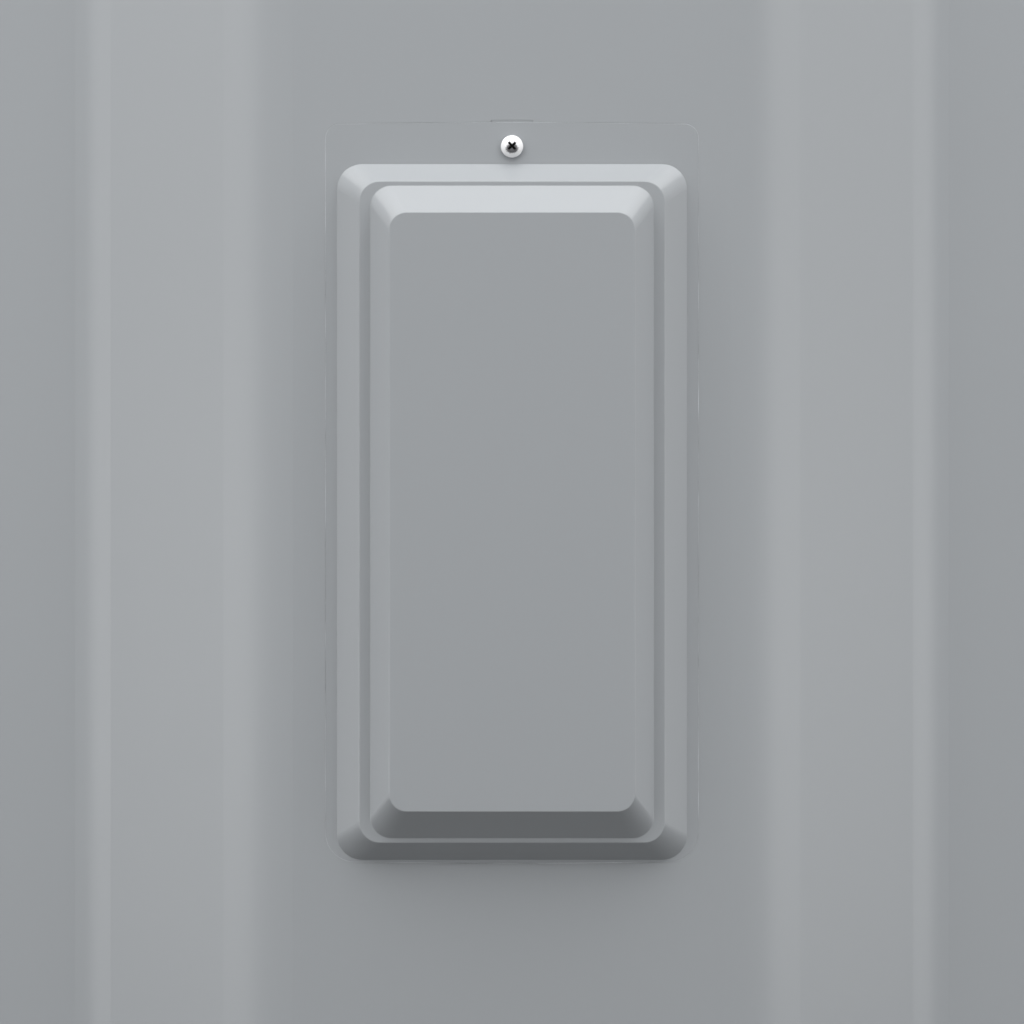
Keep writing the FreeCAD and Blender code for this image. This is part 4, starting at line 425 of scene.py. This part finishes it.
for side, node in ((-1, "bumper_left"), (1, "bumper_right")):
    low, high = (Vector(corner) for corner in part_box(node))
    outer = side * max(abs(low.x), abs(high.x))
    half_wide = high.y
    strip = bmesh.new()
    ring = [strip.verts.new((outer - side * inward, share * half_wide, low.z)) for inward, share in profile]
    grown = [strip.faces.new(ring)]
    rise = (high.z - bumper_radius - low.z) / straight_steps
    for step in range(straight_steps):
        grown = push(strip, grown, (0, 0, rise), keep_start=step == 0)
    centre = (outer - side * bumper_radius, 0, high.z - bumper_radius)
    turned = bmesh.ops.spin(strip, geom=grown, cent=centre, axis=(0, -side, 0), angle=math.pi / 2,
                            steps=bend_steps, use_merge=False)["geom_last"]
    bmesh.ops.delete(strip, geom=grown, context="FACES_ONLY")
    inner_stop = low.x if side > 0 else high.x
    push(strip, faces_of(turned), (inner_stop - centre[0], 0, 0))
    strip_piece = finish_piece(f"{node}_strip", strip, rubber, "post", (node,))
    for polygon in strip_piece.data.polygons:
        polygon.use_smooth = True

# ---------------------------------------------------------------- plinth
# Darker grey ABS with a coarse spark texture and a strong random mottle in tone and gloss.
plinth_plastic = surface("plinth_plastic", moulded, {
    "Color": (0.105, 0.108, 0.112, 1), "Grain Size": 1500.0, "Tone Spread": 0.35, "Roughness": 0.48,
    "Roughness Spread": 0.28}, bump=0.35, bump_distance=0.00012)
dress(plinth_plastic, "plinth_front", "plinth_rear")

# ---------------------------------------------------------------- lamp lens, lamp boards and lamps
# Frosted acrylic with fine upright ribs inside, over two boards of red lamps. The boards stand on
# nylon spacers and the lens is held by four plated screws.
frost, _, frost_out = new_group("frosted_ribs", [], [
    ("Color", "NodeSocketColor"), ("Roughness", "NodeSocketFloat"), ("Height", "NodeSocketFloat")])
frost_where = add(frost, "ShaderNodeTexCoord")
ribs = add(frost, "ShaderNodeTexWave", {
    "Vector": frost_where.outputs["Object"], "Scale": 160.0,
    "Distortion": 0.0}, wave_type="BANDS", bands_direction="X")
haze = add(frost, "ShaderNodeTexNoise", {
    "Vector": frost_where.outputs["Object"], "Scale": 35.0, "Detail": 6.0})
haze_tone = add(frost, "ShaderNodeMapRange", {
    "Value": haze.outputs["Fac"], "To Min": 0.80, "To Max": 0.92})
haze_rough = add(frost, "ShaderNodeMapRange", {
    "Value": haze.outputs["Fac"], "To Min": 0.22, "To Max": 0.42})
give(frost, frost_out, Color=haze_tone.outputs["Result"], Roughness=haze_rough.outputs["Result"],
     Height=ribs.outputs["Fac"])
frosted_acrylic = surface("frosted_acrylic", frost, {}, bump=0.25, bump_distance=0.0003,
                          Transmission_Weight=0.72, IOR=1.49)
dress(frosted_acrylic, "alarm_lens")

circuit, circuit_in, circuit_out = new_group(
    "circuit_layers", [("Mask Color", "NodeSocketColor", (0.012, 0.10, 0.035, 1))],
    [("Color", "NodeSocketColor"), ("Roughness", "NodeSocketFloat"), ("Height", "NodeSocketFloat")])
circuit_where = add(circuit, "ShaderNodeTexCoord")
circuit_flat = add(circuit, "ShaderNodeVectorMath", {
    0: circuit_where.outputs["Object"], 1: (1, 0, 1)}, operation="MULTIPLY")
blocks = add(circuit, "ShaderNodeTexVoronoi", {"Scale": 90.0, "Randomness": 0.8}, distance="CHEBYCHEV")
across = add(circuit, "ShaderNodeTexWave", {"Scale": 190.0}, wave_type="BANDS", bands_direction="X")
upward = add(circuit, "ShaderNodeTexWave", {"Scale": 190.0}, wave_type="BANDS", bands_direction="Z")
for texture in (blocks, across, upward):
    circuit.links.new(circuit_flat.outputs[0], texture.inputs["Vector"])
block_parts = add(circuit, "ShaderNodeSeparateColor", {0: blocks.outputs["Color"]})
block_turn = add(circuit, "ShaderNodeMath", {
    0: block_parts.outputs[0], 1: 0.5}, operation="GREATER_THAN")
track_way = add(circuit, "ShaderNodeMix", {
    0: block_turn.outputs[0], 2: across.outputs["Fac"], 3: upward.outputs["Fac"]}, data_type="FLOAT")
tracks = add(circuit, "ShaderNodeMapRange", {
    "Value": track_way.outputs[0], "From Min": 0.62, "From Max": 0.70})
pads = add(circuit, "ShaderNodeTexVoronoi", {
    "Vector": circuit_flat.outputs[0], "Scale": 230.0, "Randomness": 0.25})
pad_mask = add(circuit, "ShaderNodeMapRange", {
    "Value": pads.outputs["Distance"], "From Min": 0.17, "From Max": 0.14})
track_tone = add(circuit, "ShaderNodeMapRange", {
    "Value": tracks.outputs["Result"], "To Min": 0.8, "To Max": 1.9})
mask_tint = add(circuit, "ShaderNodeVectorMath", {
    0: circuit_in.outputs["Mask Color"], "Scale": track_tone.outputs["Result"]}, operation="SCALE")
tinned = add(circuit, "ShaderNodeMix", {
    0: pad_mask.outputs["Result"], 6: mask_tint.outputs[0], 7: (0.62, 0.61, 0.57, 1)}, data_type="RGBA")
circuit_out.inputs["Roughness"].default_value = 0.34
circuit_relief = add(circuit, "ShaderNodeMath", {
    0: tracks.outputs["Result"], 1: pad_mask.outputs["Result"]}, operation="ADD")
give(circuit, circuit_out, Color=tinned.outputs[2], Height=circuit_relief.outputs[0])
board_finish = surface("board_finish", circuit, {}, bump=0.3, bump_distance=0.00006)
dress(board_finish, "lamp_board_front", "lamp_board_rear", "main_board")

epoxy = surface("red_epoxy", moulded, {
    "Color": (0.62, 0.025, 0.015, 1), "Tone Spread": 0.25, "Roughness": 0.12, "Roughness Spread": 0.1},
    bump=0.02, Transmission_Weight=0.45, IOR=1.5)
dress(epoxy, "lamp_leds", "status_leds")
nylon = surface("natural_nylon", moulded, {
    "Color": (0.66, 0.64, 0.57, 1), "Grain Size": 900.0, "Tone Spread": 0.12, "Roughness": 0.45,
    "Roughness Spread": 0.15}, bump=0.15, bump_distance=0.00005, Subsurface_Weight=0.15)
dress(nylon, "lamp_spacers", "screw_keeper", "trimmer_housings")

# ---------------------------------------------------------------- plated and painted steel
# Rolled and drawn steel: zinc plate with a faint crystal mottle on the small parts and the floor
# plate, black powder coat on the masts, and bare extruded aluminium on the heat sink.
metal, metal_in, metal_out = new_group(
    "worked_metal",
    [("Color", "NodeSocketColor", (0.6, 0.6, 0.6, 1)),
     ("Drawn Scale", "NodeSocketVector", (400.0, 400.0, 25.0)),
     ("Roughness", "NodeSocketFloat", 0.3), ("Roughness Spread", "NodeSocketFloat", 0.2),
     ("Mottle", "NodeSocketFloat", 0.2), ("Mottle Scale", "NodeSocketFloat", 120.0)],
    [("Color", "NodeSocketColor"), ("Roughness", "NodeSocketFloat"), ("Height", "NodeSocketFloat")])
metal_where = add(metal, "ShaderNodeTexCoord")
drawn_way = add(metal, "ShaderNodeVectorMath", {
    0: metal_where.outputs["Object"], 1: metal_in.outputs["Drawn Scale"]}, operation="MULTIPLY")
drawn = add(metal, "ShaderNodeTexNoise", {"Vector": drawn_way.outputs[0], "Scale": 5.0, "Detail": 4.0})
crystals = add(metal, "ShaderNodeTexVoronoi", {
    "Vector": metal_where.outputs["Object"], "Scale": metal_in.outputs["Mottle Scale"]})
crystal_parts = add(metal, "ShaderNodeSeparateColor", {0: crystals.outputs["Color"]})
crystal_centred = add(metal, "ShaderNodeMath", {
    0: crystal_parts.outputs[0], 1: 0.5}, operation="SUBTRACT")
crystal_tone = add(metal, "ShaderNodeMath", {
    0: crystal_centred.outputs[0], 1: metal_in.outputs["Mottle"], 2: 1.0}, operation="MULTIPLY_ADD")
metal_tint = add(metal, "ShaderNodeVectorMath", {
    0: metal_in.outputs["Color"], "Scale": crystal_tone.outputs[0]}, operation="SCALE")
drawn_centred = add(metal, "ShaderNodeMath", {0: drawn.outputs["Fac"], 1: 0.5}, operation="SUBTRACT")
metal_rough = add(metal, "ShaderNodeMath", {
    0: drawn_centred.outputs[0], 1: metal_in.outputs["Roughness Spread"],
    2: metal_in.outputs["Roughness"]}, operation="MULTIPLY_ADD")
give(metal, metal_out, Color=metal_tint.outputs[0], Roughness=metal_rough.outputs[0],
     Height=drawn.outputs["Fac"])

zinc = surface("zinc_plate", metal, {
    "Color": (0.56, 0.57, 0.56, 1), "Roughness": 0.34, "Mottle": 0.18, "Mottle Scale": 160.0}, bump=0.08,
    bump_distance=0.00005, Metallic=1.0)
dress(zinc, "plinth_brackets", "plinth_screws", "mast_bolts", "lamp_screws", "lens_screws", "shell_screws",
      "sounder_strap", "board_tray", "tray_screws", "board_screws", "transformer_clamp", "transformer_bolt",
      "terminal_screws", "fuse_clips")
plate_steel = surface("floor_plate_steel", metal, {
    "Color": (0.48, 0.49, 0.49, 1), "Drawn Scale": (20.0, 300.0, 300.0), "Roughness": 0.42, "Mottle": 0.3,
    "Mottle Scale": 60.0}, bump=0.15, bump_distance=0.0001, Metallic=1.0)
dress(plate_steel, "foot_plate")
powder_coat = surface("powder_coat", metal, {
    "Color": (0.030, 0.030, 0.032, 1), "Drawn Scale": (180.0, 180.0, 180.0), "Roughness": 0.5,
    "Roughness Spread": 0.25, "Mottle": 0.15, "Mottle Scale": 700.0}, bump=0.3, bump_distance=0.0001)
dress(powder_coat, "mast_left", "mast_right", "mast_feet", "cross_bars")
aluminium = surface("extruded_aluminium", metal, {
    "Color": (0.66, 0.67, 0.68, 1), "Drawn Scale": (500.0, 500.0, 20.0), "Roughness": 0.30, "Mottle": 0.06},
    bump=0.12, bump_distance=0.00005, Metallic=1.0)
dress(aluminium, "heat_sink")
brass = surface("turned_brass", metal, {
    "Color": (0.72, 0.50, 0.21, 1), "Drawn Scale": (60.0, 700.0, 60.0), "Roughness": 0.24, "Mottle": 0.08},
    bump=0.1, bump_distance=0.00003, Metallic=1.0)
dress(brass, "screw_insert", "board_standoffs")

# ---------------------------------------------------------------- foam and rubber inside
# Foam blocks that pinch the coils, the transformer's pad, and the ribbed rubber sheet under the foot.
dress(foam, "coil_pads", "transformer_pad")
dress(rubber, "foot_pad")

# ---------------------------------------------------------------- coils and transformer
# Enamelled wire bound in varnished cloth tape: overlapping turns with a woven face, each turn a
# little lighter or darker than the next. The transformer's turns run outward from its middle.
tape, tape_in, tape_out = new_group(
    "bound_tape",
    [("Color", "NodeSocketColor", (0.34, 0.22, 0.045, 1)), ("Turns", "NodeSocketVector", (1.0, 0.0, 1.0)),
     ("Turn Scale", "NodeSocketFloat", 60.0), ("Around", "NodeSocketFloat", 0.0),
     ("Centre", "NodeSocketVector", (0.0, 0.0, 0.0))],
    [("Color", "NodeSocketColor"), ("Roughness", "NodeSocketFloat"), ("Height", "NodeSocketFloat")])
tape_where = add(tape, "ShaderNodeTexCoord")
tape_along = add(tape, "ShaderNodeVectorMath", {
    0: tape_where.outputs["Object"], 1: tape_in.outputs["Turns"]}, operation="DOT_PRODUCT")
tape_from = add(tape, "ShaderNodeVectorMath", {
    0: tape_where.outputs["Object"], 1: tape_in.outputs["Centre"]}, operation="SUBTRACT")
tape_split = add(tape, "ShaderNodeSeparateXYZ", {0: tape_from.outputs[0]})
tape_angle = add(tape, "ShaderNodeMath", {
    0: tape_split.outputs["Z"], 1: tape_split.outputs["X"]}, operation="ARCTAN2")
tape_choice = add(tape, "ShaderNodeMix", {
    0: tape_in.outputs["Around"], 2: tape_along.outputs["Value"],
    3: tape_angle.outputs[0]}, data_type="FLOAT")
tape_count = add(tape, "ShaderNodeMath", {
    0: tape_choice.outputs[0], 1: tape_in.outputs["Turn Scale"]}, operation="MULTIPLY")
turn_part = add(tape, "ShaderNodeMath", {0: tape_count.outputs[0]}, operation="FRACT")
turn_number = add(tape, "ShaderNodeMath", {0: tape_count.outputs[0]}, operation="FLOOR")
turn_tone = add(tape, "ShaderNodeTexWhiteNoise", {"W": turn_number.outputs[0]}, noise_dimensions="1D")
cloth = add(tape, "ShaderNodeTexChecker", {"Vector": tape_where.outputs["Object"], "Scale": 3200.0})
varnish = add(tape, "ShaderNodeTexNoise", {
    "Vector": tape_where.outputs["Object"], "Scale": 80.0, "Detail": 4.0})
tape_tone = add(tape, "ShaderNodeMapRange", {
    "Value": turn_tone.outputs["Value"], "To Min": 0.75, "To Max": 1.15})
tape_tint = add(tape, "ShaderNodeVectorMath", {
    0: tape_in.outputs["Color"], "Scale": tape_tone.outputs["Result"]}, operation="SCALE")
tape_rough = add(tape, "ShaderNodeMapRange", {
    "Value": varnish.outputs["Fac"], "To Min": 0.25, "To Max": 0.6})
tape_relief = add(tape, "ShaderNodeMath", {
    0: cloth.outputs["Fac"], 1: 0.15, 2: turn_part.outputs[0]}, operation="MULTIPLY_ADD")
give(tape, tape_out, Color=tape_tint.outputs[0], Roughness=tape_rough.outputs["Result"],
     Height=tape_relief.outputs[0])
coil_tape = surface("coil_tape", tape, {"Turn Scale": 62.0}, bump=0.6, bump_distance=0.0004)
dress(coil_tape, "lower_coil", "upper_coil")
toroid_low, toroid_high = (Vector(corner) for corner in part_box("transformer"))
toroid_tape = surface("transformer_tape", tape, {
    "Color": (0.62, 0.44, 0.06, 1), "Turn Scale": 8.0, "Around": 1.0,
    "Centre": tuple((toroid_low + toroid_high) / 2)}, bump=0.7, bump_distance=0.0006, Coat_Weight=0.4)
dress(toroid_tape, "transformer")

# ---------------------------------------------------------------- parts on the board
# Sleeved electrolytic cans with bare crimped tops, a glass fuse with plated ends, a green terminal
# block, and black and red moulded controls.
capped, capped_in, capped_out = new_group(
    "capped_ends",
    [("Body Color", "NodeSocketColor", (0.012, 0.02, 0.09, 1)),
     ("Way", "NodeSocketVector", (0.0, -1.0, 0.0)), ("From", "NodeSocketFloat", 0.0),
     ("Middle", "NodeSocketFloat", 0.0), ("Body Roughness", "NodeSocketFloat", 0.25)],
    [("Color", "NodeSocketColor"), ("Roughness", "NodeSocketFloat"), ("Height", "NodeSocketFloat")])
capped_where = add(capped, "ShaderNodeTexCoord")
capped_along = add(capped, "ShaderNodeVectorMath", {
    0: capped_where.outputs["Object"], 1: capped_in.outputs["Way"]}, operation="DOT_PRODUCT")
capped_off = add(capped, "ShaderNodeMath", {
    0: capped_along.outputs["Value"], 1: capped_in.outputs["Middle"]}, operation="SUBTRACT")
capped_far = add(capped, "ShaderNodeMath", {0: capped_off.outputs[0]}, operation="ABSOLUTE")
capped_mask = add(capped, "ShaderNodeMath", {
    0: capped_far.outputs[0], 1: capped_in.outputs["From"]}, operation="GREATER_THAN")
capped_noise = add(capped, "ShaderNodeTexNoise", {
    "Vector": capped_where.outputs["Object"], "Scale": 500.0})
capped_color = add(capped, "ShaderNodeMix", {
    0: capped_mask.outputs[0], 6: capped_in.outputs["Body Color"],
    7: (0.70, 0.70, 0.71, 1)}, data_type="RGBA")
capped_rough = add(capped, "ShaderNodeMath", {
    0: capped_noise.outputs["Fac"], 1: 0.2,
    2: capped_in.outputs["Body Roughness"]}, operation="MULTIPLY_ADD")
give(capped, capped_out, Color=capped_color.outputs[2], Roughness=capped_rough.outputs[0],
     Height=capped_noise.outputs["Fac"])
can_low, can_high = (Vector(corner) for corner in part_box("capacitors"))
can_sleeve = surface("can_sleeve", capped, {"From": -can_low.y - 0.0002, "Middle": 0.0}, bump=0.05,
                     bump_distance=0.00003)
dress(can_sleeve, "capacitors")
fuse_low, fuse_high = (Vector(corner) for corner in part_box("fuse"))
fuse_cap = 0.005
fuse_glass = surface("fuse_glass", capped, {
    "Body Color": (0.85, 0.90, 0.88, 1), "Way": (1.0, 0.0, 0.0),
    "From": (fuse_high.x - fuse_low.x) / 2 - fuse_cap, "Middle": (fuse_low.x + fuse_high.x) / 2,
    "Body Roughness": 0.02}, bump=0.02, Transmission_Weight=0.9)
dress(fuse_glass, "fuse")
green_block = surface("green_block", moulded, {
    "Color": (0.025, 0.16, 0.06, 1), "Grain Size": 1500.0, "Tone Spread": 0.15, "Roughness": 0.4,
    "Roughness Spread": 0.15}, bump=0.2, bump_distance=0.00006)
dress(green_block, "terminal_block")
black_moulding = surface("black_moulding", moulded, {
    "Color": (0.020, 0.020, 0.021, 1), "Grain Size": 1800.0, "Tone Spread": 0.4, "Roughness": 0.42,
    "Roughness Spread": 0.2}, bump=0.25, bump_distance=0.00008)
dress(black_moulding, "sounder", "rocker_housing", "button_housing", "sensitivity_knob", "volume_knob",
      "cable_gland", "gland_locknut")
red_moulding = surface("red_moulding", moulded, {
    "Color": (0.42, 0.018, 0.012, 1), "Grain Size": 2200.0, "Tone Spread": 0.12, "Roughness": 0.28,
    "Roughness Spread": 0.12}, bump=0.12, bump_distance=0.00004)
dress(red_moulding, "power_rocker", "reset_button")
